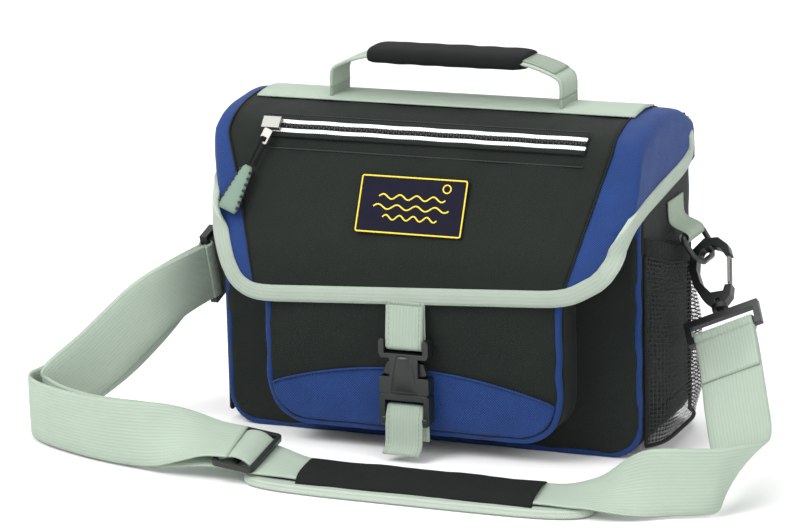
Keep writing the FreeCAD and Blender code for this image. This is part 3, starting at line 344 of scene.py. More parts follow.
def skin(name, rows, thickness, material, crumple=0.0, size=40.0, facing=None):
    """A sheet from a grid of outer points, as thick as given on its inner side, edges closed."""
    normals = grid_normals(rows)
    middle = normals[len(rows) // 2][len(rows[0]) // 2]
    turn = -1.0 if facing is not None and middle.dot(Vector(facing)) < 0 else 1.0
    verts, uvs = [], []
    count, width = len(rows), len(rows[0])
    outer = []
    for i in range(count):
        line = []
        for j in range(width):
            spot = rows[i][j] / size
            lift = crumple * (noise.noise(spot) + 0.4 * noise.noise(spot * 2.7))
            line.append(rows[i][j] + normals[i][j] * (turn * lift))
        outer.append(line)
    for layer in (0.0, thickness):
        along = 0.0
        for i in range(count):
            if i:
                along += (rows[i][width // 2] - rows[i - 1][width // 2]).length
            across = 0.0
            for j in range(width):
                if j:
                    across += (rows[i][j] - rows[i][j - 1]).length
                verts.append(outer[i][j] - normals[i][j] * (turn * layer))
                uvs.append((across * MM, along * MM))
    faces = []
    inner = count * width
    for i in range(count - 1):
        for j in range(width - 1):
            a, b = i * width + j, (i + 1) * width + j
            faces.append((a, a + 1, b + 1, b))
            faces.append((inner + a, inner + b, inner + b + 1, inner + a + 1))
    ring = (list(range(width)) + [i * width + width - 1 for i in range(1, count)]
            + [(count - 1) * width + j for j in range(width - 2, -1, -1)]
            + [i * width for i in range(count - 2, 0, -1)])
    for a, b in zip(ring, ring[1:] + ring[:1]):
        faces.append((a, b, inner + b, inner + a))
    return make_object(name, verts, faces, material, uvs)


def sweep(name, stations, section, material, closed=False):
    """Sweeps section points (across, out) along stations of (point, across, out) vectors."""
    verts, uvs = [], []
    lowest = min(p[0] for p in section)
    spread = max(p[0] for p in section) - lowest
    along = 0.0
    for number, (point, across, out) in enumerate(stations):
        if number:
            along += (point - stations[number - 1][0]).length
        for a, o in section:
            verts.append(point + across * a + out * o)
            uvs.append((along * MM, (a - lowest) / spread))
    faces = ring_faces(len(stations), len(section), closed)
    return make_object(name, verts, faces, material, uvs)


def circle(radius, sides=10):
    return [(radius * math.cos(2 * math.pi * k / sides), radius * math.sin(2 * math.pi * k / sides))
            for k in range(sides)]


def strip_section(width, thickness, crown=0.0):
    """A flat strap's section with rounded selvedges and a slightly raised middle."""
    half, low = width / 2, thickness / 2
    top = [(half * k, low + crown * (1 - k * k)) for k in (0.93, 0.6, 0.2, -0.2, -0.6, -0.93)]
    under = [(-a, -low + crown * (1 - (a / half) ** 2)) for a, _ in top]
    return [(half, 0.0)] + top + [(-half, 0.0)] + under


def frames(points, out):
    """Stations along points whose out direction stays nearest to the given one."""
    stations = []
    for i, point in enumerate(points):
        tangent = tangent_at(points, i)
        up = out(point) if callable(out) else Vector(out)
        up = (up - tangent * up.dot(tangent)).normalized()
        stations.append((point, tangent.cross(up), up))
    return stations


def flat_stations(points, wide):
    """Stations for a strap whose width points the same way all along."""
    return [(point, wide, tangent_at(points, i).cross(wide).normalized())
            for i, point in enumerate(points)]


def resample(points, step):
    """Evenly spaced points along a polyline."""
    result, carry = [points[0].copy()], 0.0
    for a, b in zip(points, points[1:]):
        length = (b - a).length
        spot = step - carry
        while spot < length:
            result.append(a.lerp(b, spot / length))
            spot += step
        carry = length - (spot - step)
    if (result[-1] - points[-1]).length > step * 0.3:
        result.append(points[-1].copy())
    else:
        result[-1] = points[-1].copy()
    return result


def smooth_line(points, rounds=3):
    """Corner cutting: a few rounds turn a polyline into a smooth curve with the same ends."""
    for _ in range(rounds):
        finer = [points[0]]
        for a, b in zip(points, points[1:]):
            finer += [a.lerp(b, 0.25), a.lerp(b, 0.75)]
        points = finer + [points[-1]]
    return points


def tube(name, points, radius, material, closed=False, sides=10):
    stations, up = [], Vector((0.13, 0.21, 0.97)).normalized()
    for i, point in enumerate(points):
        before = points[(i - 1) % len(points)] if closed else points[max(i - 1, 0)]
        after = points[(i + 1) % len(points)] if closed else points[min(i + 1, len(points) - 1)]
        tangent = (after - before).normalized()
        up = (up - tangent * up.dot(tangent)).normalized()
        stations.append((point, tangent.cross(up), up))
    return sweep(name, stations, circle(radius, sides), material, closed)


def rounded_block(name, low, high, radius, material, segments=3):
    """A box with rounded edges."""
    build = bmesh.new()
    centre, size = (low + high) / 2, high - low
    bmesh.ops.create_cube(build, size=1.0, matrix=Matrix.Translation(centre * MM)
                          @ Matrix.Diagonal((size * MM).to_4d()))
    bmesh.ops.bevel(build, geom=build.edges[:], offset=radius * MM, segments=segments,
                    affect="EDGES", profile=0.6)
    mesh = bpy.data.meshes.new(name)
    build.to_mesh(mesh)
    build.free()
    return shown(name, mesh, material)


def bag_piece(obj, body="bag", nodes=()):
    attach(obj, body)
    if nodes:
        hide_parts(*nodes)
    return obj


# ---- case
HALF = box_mm("base_panel")[1].x
FRONT = box_mm("front_panel")[0].y
BACK = box_mm("back_panel")[1].y
RIM = box_mm("front_panel")[1].z
SIDE_FOOT = box_mm("side_panel_right")[0].z
ROUND = 20.0


def u_outline(half, foot, top, radius, steps=10):
    """Points of a U from its left top, round both lower corners, to its right top."""
    points = [Vector((-half, 0, top)), Vector((-half, 0, lerp(foot + radius, top, 0.5)))]
    for side, start in ((-1, math.pi), (1, 1.5 * math.pi)):
        for k in range(steps + 1):
            angle = start + k * math.pi / 2 / steps
            points.append(Vector((side * (half - radius) + radius * math.cos(angle), 0,
                                  foot + radius + radius * math.sin(angle))))
    return points + [Vector((half, 0, lerp(foot + radius, top, 0.5))), Vector((half, 0, top))]


def corner_inset(z, foot, radius):
    """How far a rounded lower corner draws its side in at a height."""
    if z >= foot + radius:
        return 0.0
    return radius - math.sqrt(max(0.0, radius ** 2 - (foot + radius - z) ** 2))


def u_panel(name, half, foot, top, radius, plane, swell, facing, material, crumple=0.8):
    """A flat panel with rounded lower corners, slightly stuffed from behind."""
    rows = []
    heights = [foot + (top - foot) * (k / 44) ** 1.15 for k in range(45)]
    for z in heights:
        reach = half - corner_inset(z, foot, radius)
        row = []
        for k in range(61):
            share = -1 + 2 * k / 60
            rise = (z - foot) / (top - foot)
            puff = swell * (1 - share ** 4) * (1 - (2 * rise - 1) ** 6)
            row.append(Vector((share * reach, plane + facing * puff, z)))
        rows.append(row)
    return skin(name, rows, 2.4, material, crumple, 34.0, facing=(0, facing, 0))


def make_case():
    bag_piece(u_panel("front_cloth", HALF - 2, 3, RIM, 18, FRONT + 0.4, 1.2, -1, "panel"),
              nodes=["front_panel"])
    bag_piece(u_panel("back_cloth", HALF - 2, 3, box_mm("back_panel")[1].z, 18, BACK - 0.4, 1.2, 1,
                      "panel"), nodes=["back_panel"])
    for side, node in ((-1, "side_panel_left"), (1, "side_panel_right")):
        rows = [[Vector((side * (HALF - 0.3 + 1.0 * (1 - (y / 46) ** 4)), y, z))
                 for y in [-46 + 92 * k / 30 for k in range(31)]]
                for z in [SIDE_FOOT + (RIM - SIDE_FOOT) * k / 50 for k in range(51)]]
        bag_piece(skin(node + "_cloth", rows, 2.6, "panel", 0.9, 30.0, facing=(side, 0, 0)),
                  nodes=[node])
    outline = resample(u_outline(HALF, 0.0, SIDE_FOOT, ROUND), 5.0)
    rows = [[Vector((p.x, y, p.z)) for p in outline] for y in (-45, -30, -15, 0, 15, 30, 45)]
    bag_piece(skin("base_cloth", rows, 2.8, "panel", facing=(0, 0, -1)),
              nodes=["base_panel"])
    for node, plane in (("front_piping", FRONT + 2.5), ("back_piping", BACK - 2.5)):
        path = [p + Vector((0, plane, 0)) for p in u_outline(HALF - 2.5, 2.5, RIM, ROUND - 2.5)]
        path = [p + Vector((0.25 * math.sin(k * 0.9), 0.25 * math.cos(k * 0.7), 0))
                for k, p in enumerate(resample(path, 4.0))]
        bag_piece(tube(node + "_cloth", path, 2.4, "piping", sides=12), nodes=[node])
    low, high = box_mm("rim_binding")
    ring = [Vector((low.x + 1.5, high.y, 0)), Vector((low.x + 1.5, low.y + 1.5, 0)),
            Vector((high.x - 1.5, low.y + 1.5, 0)), Vector((high.x - 1.5, high.y, 0))]
    path = [p + Vector((0, 0, (low.z + high.z) / 2)) for p in resample(ring, 6.0)]
    tape = [(2.0, -2.2), (2.4, 0), (1.4, 2.0), (-1.4, 2.0), (-2.4, 0), (-2.0, -2.2)]
    bag_piece(sweep("rim_tape", frames(path, (0, 0, 1)), tape, "binding"),
              nodes=["rim_binding"])


# ---- front pocket
WAVE_SIDE, WAVE_ROUND = 39.0, 23


def make_pocket():
    low, high = box_mm("pocket_panel")
    half, foot, plane = high.x, low.z, low.y
    gusset_low, gusset_high = box_mm("pocket_gusset")
    panel = u_panel("pocket_cloth", half + 2, foot - 2, high.z, 25, plane + 0.6, 2.6, -1, "panel", 1.1)
    bag_piece(panel, nodes=["pocket_panel"])
    outline = resample(u_outline(gusset_high.x, gusset_low.z, gusset_high.z, 28), 5.0)
    depth = [gusset_high.y - (gusset_high.y - gusset_low.y) * k / 8 for k in range(9)]
    rows = [[Vector((p.x - 0.9 * math.copysign(math.sin(math.pi * k / 8), p.x), y, p.z))
             for p in outline] for k, y in enumerate(depth)]
    bag_piece(skin("gusset_cloth", rows, 2.6, "panel", 0.7, 22.0, facing=(0, 0, -1)),
              nodes=["pocket_gusset"])
    path = [p + Vector((0, plane + 2.4, 0)) for p in u_outline(half + 2.5, foot - 2.5, high.z, 25.5)]
    path = [p + Vector((0.3 * math.sin(k * 0.8), 0.3 * math.cos(k), 0))
            for k, p in enumerate(resample(path, 3.5))]
    bag_piece(tube("pocket_piping_cloth", path, 2.4, "piping", sides=12),
              nodes=["pocket_piping"])
    crest = box_mm("pocket_wave")[1].z
    rows = []
    for i in range(19):
        row = []
        for k in range(61):
            share = -1 + 2 * k / 60
            top = lerp(WAVE_SIDE, crest, math.cos(share * math.pi / 2) ** 0.8)
            z = lerp(foot - 0.5, top, i / 18)
            inset = corner_inset(z, foot, WAVE_ROUND)
            rise = (z - foot) / (high.z - foot)
            puff = 2.6 * (1 - share ** 4) * (1 - (2 * clamp(rise) - 1) ** 6)
            row.append(Vector((share * (half + 0.5 - inset), plane - 0.7 - puff, z)))
        rows.append(row)
    bag_piece(skin("wave_cloth", rows, 1.4, "navy", 0.8, 34.0, facing=(0, -1, 0)),
              nodes=["pocket_wave"])
    seam = [rows[-1][k] + Vector((0, -0.4, 0)) for k in range(61)]
    bag_piece(tube("wave_seam", seam, 0.7, "navy", sides=8))


# ---- side nets
def make_nets():
    for side, name in ((1, "right"), (-1, "left")):
        low, high = box_mm("mesh_pocket_" + name)
        deep = high.x - low.x
        brim = box_mm("elastic_" + name)[1].x - box_mm("elastic_" + name)[0].x
        foot, front_top, back_top = low.z, high.z, box_mm("elastic_" + name)[0].z

        def wall(turn, rise, extra=0.0):
            y = lerp(low.y, high.y, turn)
            top = lerp(front_top, back_top, turn) - 3.0 * math.sin(math.pi * turn)
            z = lerp(foot, top, rise) if rise <= 1 else top + (rise - 1)
            full = along_table([(foot, 0.55), (foot + 22, 1.0), (70, 1.0), (112, brim / deep)], z)
            round_off = (1 - abs(2 * turn - 1) ** 5)
            return Vector((side * (HALF + 0.6 + (deep - 1) * full * round_off + extra), y, z))

        rows = [[wall(k / 36, i / 30) for k in range(37)] for i in range(31)]
        net = skin("net_cloth_" + name, rows, 0.7, "net", 0.8, 18.0, facing=(side, 0, 0))
        bag_piece(net, nodes=["mesh_pocket_" + name])
        band = [[wall(k / 48, 1 + 11 * i / 6, 0.4 * math.sin(k * 2.1)) for k in range(49)]
                for i in range(7)]
        bag_piece(skin("hem_" + name, band, 1.6, "elastic", facing=(side, 0, 0)),
                  nodes=["elastic_" + name])
        edge = [wall(k / 36, 0.0) for k in range(37)]
        bag_piece(tube("net_foot_" + name, edge, 1.3, "elastic", sides=8))
        for turn in (0.0, 1.0):
            upright = [wall(turn, i / 30, 0.4) for i in range(31)]
            bag_piece(tube(f"net_edge_{name}_{int(turn)}", upright, 1.2, "elastic", sides=8))


# ---- flap
ACROSS = Vector((1, 0, 0))
FLAP_LOW, FLAP_HIGH = box_mm("flap_binding")
WIDE = FLAP_HIGH.x
CROWN = box_mm("flap_panel")[1].z
REACH = FLAP_LOW.y
LOW = FLAP_LOW.z
PROFILE_TURNS = [(48.5, CROWN - 12.2), (28, CROWN - 3), (0, CROWN), (-28, CROWN - 3),
                 (-44, CROWN - 8), (-50.5, CROWN - 12.5), (-55, CROWN - 18), (-60, CROWN - 28.5),
                 (-70, CROWN - 49.5), (-82, CROWN - 74.7), (-84.7, CROWN - 83), (REACH, CROWN - 95),
                 (REACH, LOW + 10), (REACH, LOW)]
PROFILE = resample(smooth_line([Vector((0, y, z)) for y, z in PROFILE_TURNS], 3), 3.0)
OUTLINE = [(LOW, 101), (LOW + 3, 111), (LOW + 7, 119), (LOW + 12, 126), (LOW + 21, 132.5),
           (LOW + 34, 138), (LOW + 42, 141), (150, WIDE)]
SEAM = {1: [(LOW, 101.5), (LOW + 6, 102), (CROWN - 18, 124), (CROWN, 124)],
        -1: [(LOW, 101.5), (130, 107), (165, 119), (CROWN - 18, 131), (CROWN, 131)]}
CHEEK_EDGE = [(-74, 149), (-47, 155), (-10, 160), (28, 165), (49.5, 172)]


def edge_half(z):
    return along_table(OUTLINE, z)


def seam_half(point, side):
    return along_table(SEAM[side], point.z if point.y < -40 else CROWN)


def wing_low(y):
    return along_table(CHEEK_EDGE, y)


def drape(p):
    """The flap hangs a little askew, and its left corner lies closer in."""
    if p.y > -50:
        return p
    lean = clamp((130 - p.z) / 25)
    tuck = 0.0
    if p.x < 0:
        seam = along_table(SEAM[-1], p.z)
        tuck = 10 * clamp((-p.x - seam) / (WIDE - seam)) * clamp((-50 - p.y) / 18)
    return Vector((p.x + tuck, p.y, p.z + (0.054 * p.x + 1.5) * lean))


def profile_normal(index):
    normal = ACROSS.cross(tangent_at(PROFILE, index))
    return -normal if normal.dot(Vector((0, -0.3, 1))) < 0 else normal


def profile_at(z):
    """Point and outward normal of the profile's front part at a height."""
    front = [i for i, p in enumerate(PROFILE) if p.y < -40]
    best = min(front, key=lambda i: abs(PROFILE[i].z - z))
    point = PROFILE[best]
    return Vector((0, point.y, z)), profile_normal(best)


def wing_line(index, side):
    """One row of a wing: out from its seam, then down the cheek where the flap turns down."""
    point, out = PROFILE[index], profile_normal(index)
    start = seam_half(point, side)
    drop = point.z - wing_low(point.y)
    inner = Vector((start, point.y, point.z)) - out * 0.5
    if drop <= 0.5:
        end = Vector((max(edge_half(point.z) - 0.5, start + 1), point.y, point.z)) - out * 0.5
        return [inner.lerp(end, t / 25) for t in range(26)]
    radius = min(9.0, drop * 0.7)
    corner = Vector((WIDE - 0.3, point.y, point.z)) - out * 0.5
    foot = Vector((WIDE - 0.3, point.y, wing_low(point.y)))
    before = corner - Vector((radius, 0, 0))
    after = corner.lerp(foot, min(0.75, radius / max(drop, 1.0)))
    bend = [before * (1 - t) ** 2 + corner * 2 * t * (1 - t) + after * t * t
            for t in (0.0, 0.25, 0.5, 0.75, 1.0)]
    return ([inner.lerp(before, t / 9) for t in range(9)] + bend
            + [after.lerp(foot, t / 12) for t in range(1, 13)])


def make_flap():
    rows = []
    for index, point in enumerate(PROFILE):
        left, right = -seam_half(point, -1), seam_half(point, 1)
        lift = profile_normal(index) * -0.5
        rows.append([drape(point + Vector((lerp(left, right, k / 70), 0, 0)) + lift)
                     for k in range(71)])
    bag_piece(skin("flap_cloth", rows, 2.2, "panel", 0.9, 30.0, facing=(0, -0.6, 0.6)),
              "flap", ["flap_panel"])
    for side, name in ((-1, "left"), (1, "right")):
        rows = []
        for index, point in enumerate(PROFILE):
            if point.y < -40 and point.z < LOW + 4:
                break
            rows.append([drape(Vector((side * p.x, p.y, p.z))) for p in wing_line(index, side)])
        piece = skin("wing_cloth_" + name, rows, 2.0, "navy", 0.7, 26.0,
                     facing=(side * 0.3, -0.6, 0.6))
        bag_piece(piece, "flap", ["wing_" + name])
        seam = [drape(Vector((side * seam_half(p, side), p.y, p.z)) + profile_normal(i) * -0.1)
                for i, p in enumerate(PROFILE) if p.z > LOW + 8 or p.y > -40]
        bag_piece(tube("wing_seam_" + name, seam, 0.6, "panel", sides=6), "flap")
    make_flap_tape()


def make_flap_tape():
    """Folded tape round the flap's free edge: up both cheeks and round the front."""
    half_line = [(Vector((-(WIDE - drop), y, z)), Vector((-1, 0, 0)))
                 for drop, y, z in ((3, 45.5, CROWN - 13), (0.8, 48.5, CROWN - 18),
                                    (0.2, 49.6, CROWN - 26), (0.2, 49.4, CROWN - 33),
                                    (0.2, 46.5, CROWN - 39), (0.2, 41, CROWN - 42))]
    for k in range(26):
        y = lerp(36, -72, k / 25)
        half_line.append((Vector((-(WIDE - 0.2), y, wing_low(y) + 0.5)), Vector((-1, 0, 0))))
    for k in range(1, 34):
        z = lerp(147, LOW + 0.5, (k / 33) ** 0.8)
        point, out = profile_at(z)
        out = Vector((-1, 0, 0)).lerp(out, clamp(k / 5)).normalized()
        half_line.append((Vector((-edge_half(z), point.y, z)), out))
    point, out = profile_at(LOW)
    bottom = [(Vector((lerp(-101, 101, k / 40), point.y, LOW)), out) for k in range(1, 40)]
    mirrored = [(Vector((-p.x, p.y, p.z)), Vector((-n.x, n.y, n.z))) for p, n in reversed(half_line)]
    line = [(drape(p), n) for p, n in half_line + bottom + mirrored]
    for _ in range(3):
        line = [line[0]] + [((a[0] + b[0] * 2 + c[0]) / 4, (a[1] + b[1] * 2 + c[1]).normalized())
                            for a, b, c in zip(line, line[1:], line[2:])] + [line[-1]]
    spots, stations = [point for point, _ in line], []
    for i, (point, out) in enumerate(line):
        tangent = tangent_at(spots, i)
        out = (out - tangent * out.dot(tangent)).normalized()
        stations.append((point, out.cross(tangent), out))
    section = [(10.2, 0.2), (9.9, 1.0), (6.5, 1.3), (2.0, 1.2), (-0.3, 0.5), (-0.9, -0.9),
               (-0.3, -2.4), (2.0, -3.0), (6.5, -3.1), (8.6, -2.9), (8.8, -2.2)]
    tape = sweep("flap_tape", stations, section, "binding")
    bag_piece(tape, "flap", ["flap_binding"])


def make_hinge_tape():
    """The cloth that joins the flap to the back panel."""
    foot, rim, end = box_mm("back_panel")[1].z - 9, CROWN - 11.6, HALF - 3
    rows = [[Vector((x, BACK + 0.6 - 0.9 * (z - foot) / (rim - foot), z))
             for x in [-end + 2 * end * k / 60 for k in range(61)]]
            for z in [foot + (rim - foot) * k / 6 for k in range(7)]]
    bag_piece(skin("hinge_tape", rows, 1.2, "panel", facing=(0, 1, 0)))


def make_top_strip():
    low, high = box_mm("top_strip")
    path = [Vector((lerp(low.x - 3, high.x + 3, k / 60), 0, CROWN + 0.7)) for k in range(61)]
    section = [(19, -2.4), (18.4, -1.3), (10, 0.1), (0, 0.7), (-10, 0.1), (-18.4, -1.3), (-19, -2.4),
               (-10, -1.2), (0, -0.6), (10, -1.2)]
    bag_piece(sweep("top_webbing", frames(path, (0, 0, 1)), section, "strap"), "flap",
              ["top_strip"])


# ---- badge and zip
# Up and outward directions on the flap's sloping front, and on the bevel that carries the zip.
SLOPE_UP, SLOPE_OUT = Vector((0, 30, 63)).normalized(), Vector((0, -63, 30)).normalized()
BEVEL_UP, BEVEL_OUT = Vector((0, 8, 9)).normalized(), Vector((0, -9, 8)).normalized()


def make_badge():
    low, high = box_mm("badge")
    centre = (low + high) / 2
    across, up, out = ACROSS, SLOPE_UP, SLOPE_OUT
    half_w, half_h = (high.x - low.x) / 2, 18.5
    face = centre + out * 0.65

    def on_badge(x, y, lift):
        return face + across * x + up * y + out * lift

    def loop(w, h, r, lift):
        points = []
        for sx, sy, start in ((1, 1, 0), (-1, 1, 1), (-1, -1, 2), (1, -1, 3)):
            for k in range(5):
                angle = (start + k / 4) * math.pi / 2
                points.append(on_badge(sx * (w - r) + r * math.cos(angle),
                                       sy * (h - r) + r * math.sin(angle), lift))
        return points

    bag_piece(tube("badge_border", loop(half_w - 0.8, half_h - 0.8, 1.2, 0.1), 0.5, "yellow",
                   closed=True, sides=8), "flap")
    for number, (drop, length) in enumerate(((5.0, 44), (-1.5, 50), (-8.0, 36))):
        wave = [on_badge(lerp(-length / 2, length / 2, k / 48), drop + 1.5 * math.sin(k * 0.52), 0.05)
                for k in range(49)]
        bag_piece(tube(f"badge_wave_{number}", wave, 0.5, "yellow", sides=8), "flap")
    sun = [on_badge(22 + 2.6 * math.cos(a * 0.449), 12 + 2.6 * math.sin(a * 0.449), 0.0)
           for a in range(14)]
    bag_piece(tube("badge_sun", sun, 0.45, "yellow", closed=True, sides=8), "flap")


def make_zip():
    low, high = box_mm("zip_tape")
    across, up, out = ACROSS, BEVEL_UP, BEVEL_OUT
    lane = (low + high) / 2 + out * 0.15
    for side in (-1, 1):
        path = [lane + across * lerp(low.x, high.x, k / 60) - Vector((lane.x, 0, 0))
                + up * (side * 3.1 + 0.15 * math.sin(k * 0.7)) + out * 0.3 for k in range(61)]
        tape = sweep(f"zip_tape_{side + 1}", frames(path, out), strip_section(2.6, 1.5), "white")
        bag_piece(tape, "flap", ["zip_tape"])
    bed = [lane + across * (lerp(low.x, high.x, k / 60) - lane.x) for k in range(61)]
    base = sweep("zip_bed", frames(bed, out), strip_section(15.0, 1.3), "panel")
    bag_piece(base, "flap")
    seams = {"upper": up * 9.0 - out * 0.9, "lower": Vector((0, -6.875, -12.5))}
    for name, offset in seams.items():
        seam = tube("zip_seam_" + name, [p + offset for p in bed], 0.5, "rib", sides=6)
        bag_piece(seam, "flap")
    verts, faces = [], []
    count = 118
    for n in range(count):
        x = lerp(low.x + 1, high.x - 1, n / (count - 1))
        side = 1 if n % 2 else -1
        centre = lane + across * (x - lane.x) + up * (side * 0.5) + out * 0.9
        start = len(verts)
        for sx in (-0.55, 0.55):
            for sy in (-1.0, 1.0):
                for sz in (-0.5, 0.6):
                    verts.append(centre + across * sx + up * sy + out * sz)
        faces += [tuple(start + c for c in quad) for quad in
                  ((0, 1, 3, 2), (4, 6, 7, 5), (0, 4, 5, 1), (2, 3, 7, 6), (0, 2, 6, 4), (1, 5, 7, 3))]
    bag_piece(make_object("zip_coil_teeth", verts, faces, "coil", smooth=False), "flap",
              ["zip_teeth"])


def make_puller():
    low, high = box_mm("pull_grip")
    out, lean = SLOPE_OUT, math.radians(20)
    down = -(SLOPE_UP * math.cos(lean) + ACROSS * math.sin(lean))
    side = out.cross(down).normalized()
    centre = (low + high) / 2
    stations = []
    for k in range(17):
        t = -1 + 2 * k / 16
        half = lerp(3.4, 7.3, (t + 1) / 2) - 1.2 * max(0, abs(t) - 0.8) / 0.2
        stations.append((centre + down * (t * 15.6), half, 2.3 if abs(t) < 0.9 else 1.6))
    verts, ring = [], 12
    for point, half, thick in stations:
        for k in range(ring):
            angle = 2 * math.pi * k / ring
            a, b = math.cos(angle), math.sin(angle)
            verts.append(point + side * (half * math.copysign(abs(a) ** 0.6, a))
                         + out * (thick * math.copysign(abs(b) ** 0.6, b)))
    body = make_object("grip_body", verts, ring_faces(len(stations), ring), "grip")
    bag_piece(body, "puller", ["pull_grip"])
    for hand in (-1, 1):
        for k in range(1, 8):
            t = -1 + 2 * k / 8
            half = lerp(3.4, 7.3, (t + 1) / 2)
            spot = centre + down * (t * 15.6) + side * (hand * (half - 0.1))
            bar = [spot - out * 2.1, spot + out * 2.1]
            bag_piece(tube(f"grip_rib_{hand + 1}_{k}", bar, 0.9, "rib", sides=6),
                      "puller")


# ---- carrying handle
def make_handle():
    low, high = box_mm("handle_webbing")
    grip_low, grip_high = box_mm("handle_grip")
    top = high.z - 1.1
    fold = low.z - 4.0
    for side, name in ((-1, "left"), (1, "right")):
        foot_low, foot_high = box_mm("handle_foot_" + name)
        x = (foot_low.x + foot_high.x) / 2
        tab = [Vector((x + side * 0.2, 0, lerp(foot_low.z + 0.5, fold, k / 6))) for k in range(7)]
        piece = sweep("handle_tab_" + name, frames(tab, (side, 0, 0)), strip_section(30, 2.0), "tab")
        bag_piece(piece, "flap", ["handle_foot_" + name])
    x = high.x - 1.1
    turns = [Vector((-x, 0, fold)), Vector((-x - 0.3, 0, low.z + 5)), Vector((-x + 2, 0, low.z + 10)),
             Vector((grip_low.x - 2, 0, top)), Vector((grip_low.x + 14, 0, top + 0.5)),
             Vector((0, 0, top + 0.6)), Vector((grip_high.x - 14, 0, top + 0.5)),
             Vector((grip_high.x + 2, 0, top)), Vector((x - 2, 0, low.z + 10)),
             Vector((x + 0.3, 0, low.z + 5)), Vector((x, 0, fold))]
    path = resample(smooth_line(turns, 3), 2.0)
    arch = sweep("handle_arch", frames(path, lambda p: Vector((p.x * 0.02, 0, 1))),
                 strip_section(30, 2.2), "narrow")
    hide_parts("handle_webbing")
    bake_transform(arch)
    lap = [p + Vector((0.4, 0, 1.6)) for p in path if grip_high.x - 3 < p.x < x - 3]
    bag_piece(sweep("handle_lap", frames(lap, lambda p: Vector((p.x * 0.02, 0, 1))),
                    strip_section(26, 1.2), "tab"), "handle")
    centre = (grip_low + grip_high) / 2
    half_y, half_z = (grip_high.y - grip_low.y) / 2, (grip_high.z - grip_low.z) / 2
    rows, sides = [], 24
    for k in range(45):
        x = lerp(grip_low.x, grip_high.x, k / 44)
        near = min(x - grip_low.x, grip_high.x - x)
        swell = 0.86 + 0.14 * clamp(near / 8) ** 0.5 + 0.015 * math.sin(x * 0.33)
        ring = []
        for j in range(sides):
            angle = 2 * math.pi * j / sides
            a, b = math.cos(angle), math.sin(angle)
            ring.append(Vector((x, centre.y + half_y * swell * math.copysign(abs(a) ** 0.55, a),
                                centre.z + half_z * swell * math.copysign(abs(b) ** 0.75, b))))
        rows.append(ring)
    verts = [p + Vector((0, 0, 0.25 * noise.noise(p / 9))) for ring in rows for p in ring]
    sleeve = make_object("grip_sleeve", verts, ring_faces(len(rows), sides), "sleeve")
    bag_piece(sleeve, "handle", ["handle_grip"])


# ---- straps
SIDE_RIGHT = (0.91, 0.15, 0.39)
SIDE_LEFT = (0, -0.28, 0.96)
UPRIGHT = (0, 0, 1)
FLAT = (0, 1, 0)
FOLD = (0.63, 0.29, 0.72)
# Route points, the way the webbing's width points there, and how far it keeps to that way.
MAIN = [((185.0, -21.8, 77.3), SIDE_RIGHT, 0), ((189.5, -29.3, 69), SIDE_RIGHT, 0),
        ((195.5, -42, 60), SIDE_RIGHT, 0), ((205, -66, 49.5), (0.90, 0.2, 0.36), 0),
        ((217, -94, 37), (0.85, 0.25, 0.42), 0), ((228, -120, 26), FOLD, 0.8),
        ((222, -140, 22.5), (0.25, 0.12, 0.95), 0.6), ((204, -147, 22), (0, 0.1, 1), 0),
        ((184, -151, 21.5), (0, 0.25, 0.97), 0), ((164, -152.5, 17), (0, 0.75, 0.66), 0),
        ((146, -153, 11.8), (0, 0.97, 0.22), 0), ((122, -153, 7.6), FLAT, 0),
        ((80, -152.5, 7.5), FLAT, 0), ((40, -153.2, 7.5), FLAT, 0), ((4, -152.6, 7.5), FLAT, 0),
        ((-26, -152.2, 7.6), FLAT, 0), ((-48, -151.5, 7.9), FLAT, 0),
        ((-68, -151, 11.2), (0, 0.985, 0.17), 0), ((-98, -150.3, 14.6), (0, 0.97, 0.25), 0),
        ((-121, -151.2, 18.2), (0, 0.8, 0.6), 0), ((-148, -153.2, 20.8), (0, 0.25, 0.97), 0),
        ((-180, -150.8, 21.3), (0, 0.05, 1), 0), ((-206, -140.5, 21.5), UPRIGHT, 0),
        ((-227, -127, 21.5), UPRIGHT, 0), ((-240, -113, 22), UPRIGHT, 0),
        ((-233, -101, 30), UPRIGHT, 0), ((-214, -89, 46), UPRIGHT, 0), ((-197, -77, 65), UPRIGHT, 0),
        ((-181, -65, 82), UPRIGHT, 0), ((-166, -49, 91), (0, -0.2, 0.98), 0),
        ((-157.3, -33.8, 95.6), SIDE_LEFT, 0)]
RETURN = [((-160.7, -33.8, 95.6), SIDE_LEFT, 0), ((-167.5, -45.5, 92.2), SIDE_LEFT, 0),
          ((-177.5, -55, 85), (0, -0.2, 0.98), 0), ((-192.5, -64.5, 67), UPRIGHT, 0),
          ((-212, -77.5, 44), UPRIGHT, 0), ((-239, -98, 24), UPRIGHT, 0),
          ((-252, -114, 21.5), UPRIGHT, 0), ((-236, -132, 21.5), UPRIGHT, 0),
          ((-208, -145.5, 21.5), UPRIGHT, 0), ((-180, -154.6, 21.4), (0, 0.05, 1), 0),
          ((-148, -158, 21.8), (0, 0.25, 0.97), 0), ((-122, -155.3, 22.8), (0, 0.8, 0.6), 0),
          ((-104, -152, 21.8), (0, 0.97, 0.25), 0), ((-87, -150.5, 20.6), (0, 0.98, 0.2), 0)]


def route_points(name, route):
    """The route as a second-order curve, read back as closely spaced points."""
    data = bpy.data.curves.new(name, "CURVE")
    data.dimensions = "3D"
    spline = data.splines.new("NURBS")
    spline.points.add(len(route) - 1)
    for knot, (place, _, _) in zip(spline.points, route):
        knot.co = (place[0] * MM, place[1] * MM, place[2] * MM, 1.0)
    spline.order_u = 3
    spline.use_endpoint_u = True
    spline.resolution_u = 8
    obj = bpy.data.objects.new(name, data)
    bpy.context.collection.objects.link(obj)
    bpy.context.view_layer.update()
    mesh = bpy.data.meshes.new_from_object(obj)
    points = [v.co / MM for v in mesh.vertices]
    bpy.data.objects.remove(obj)
    bpy.data.meshes.remove(mesh)
    return points


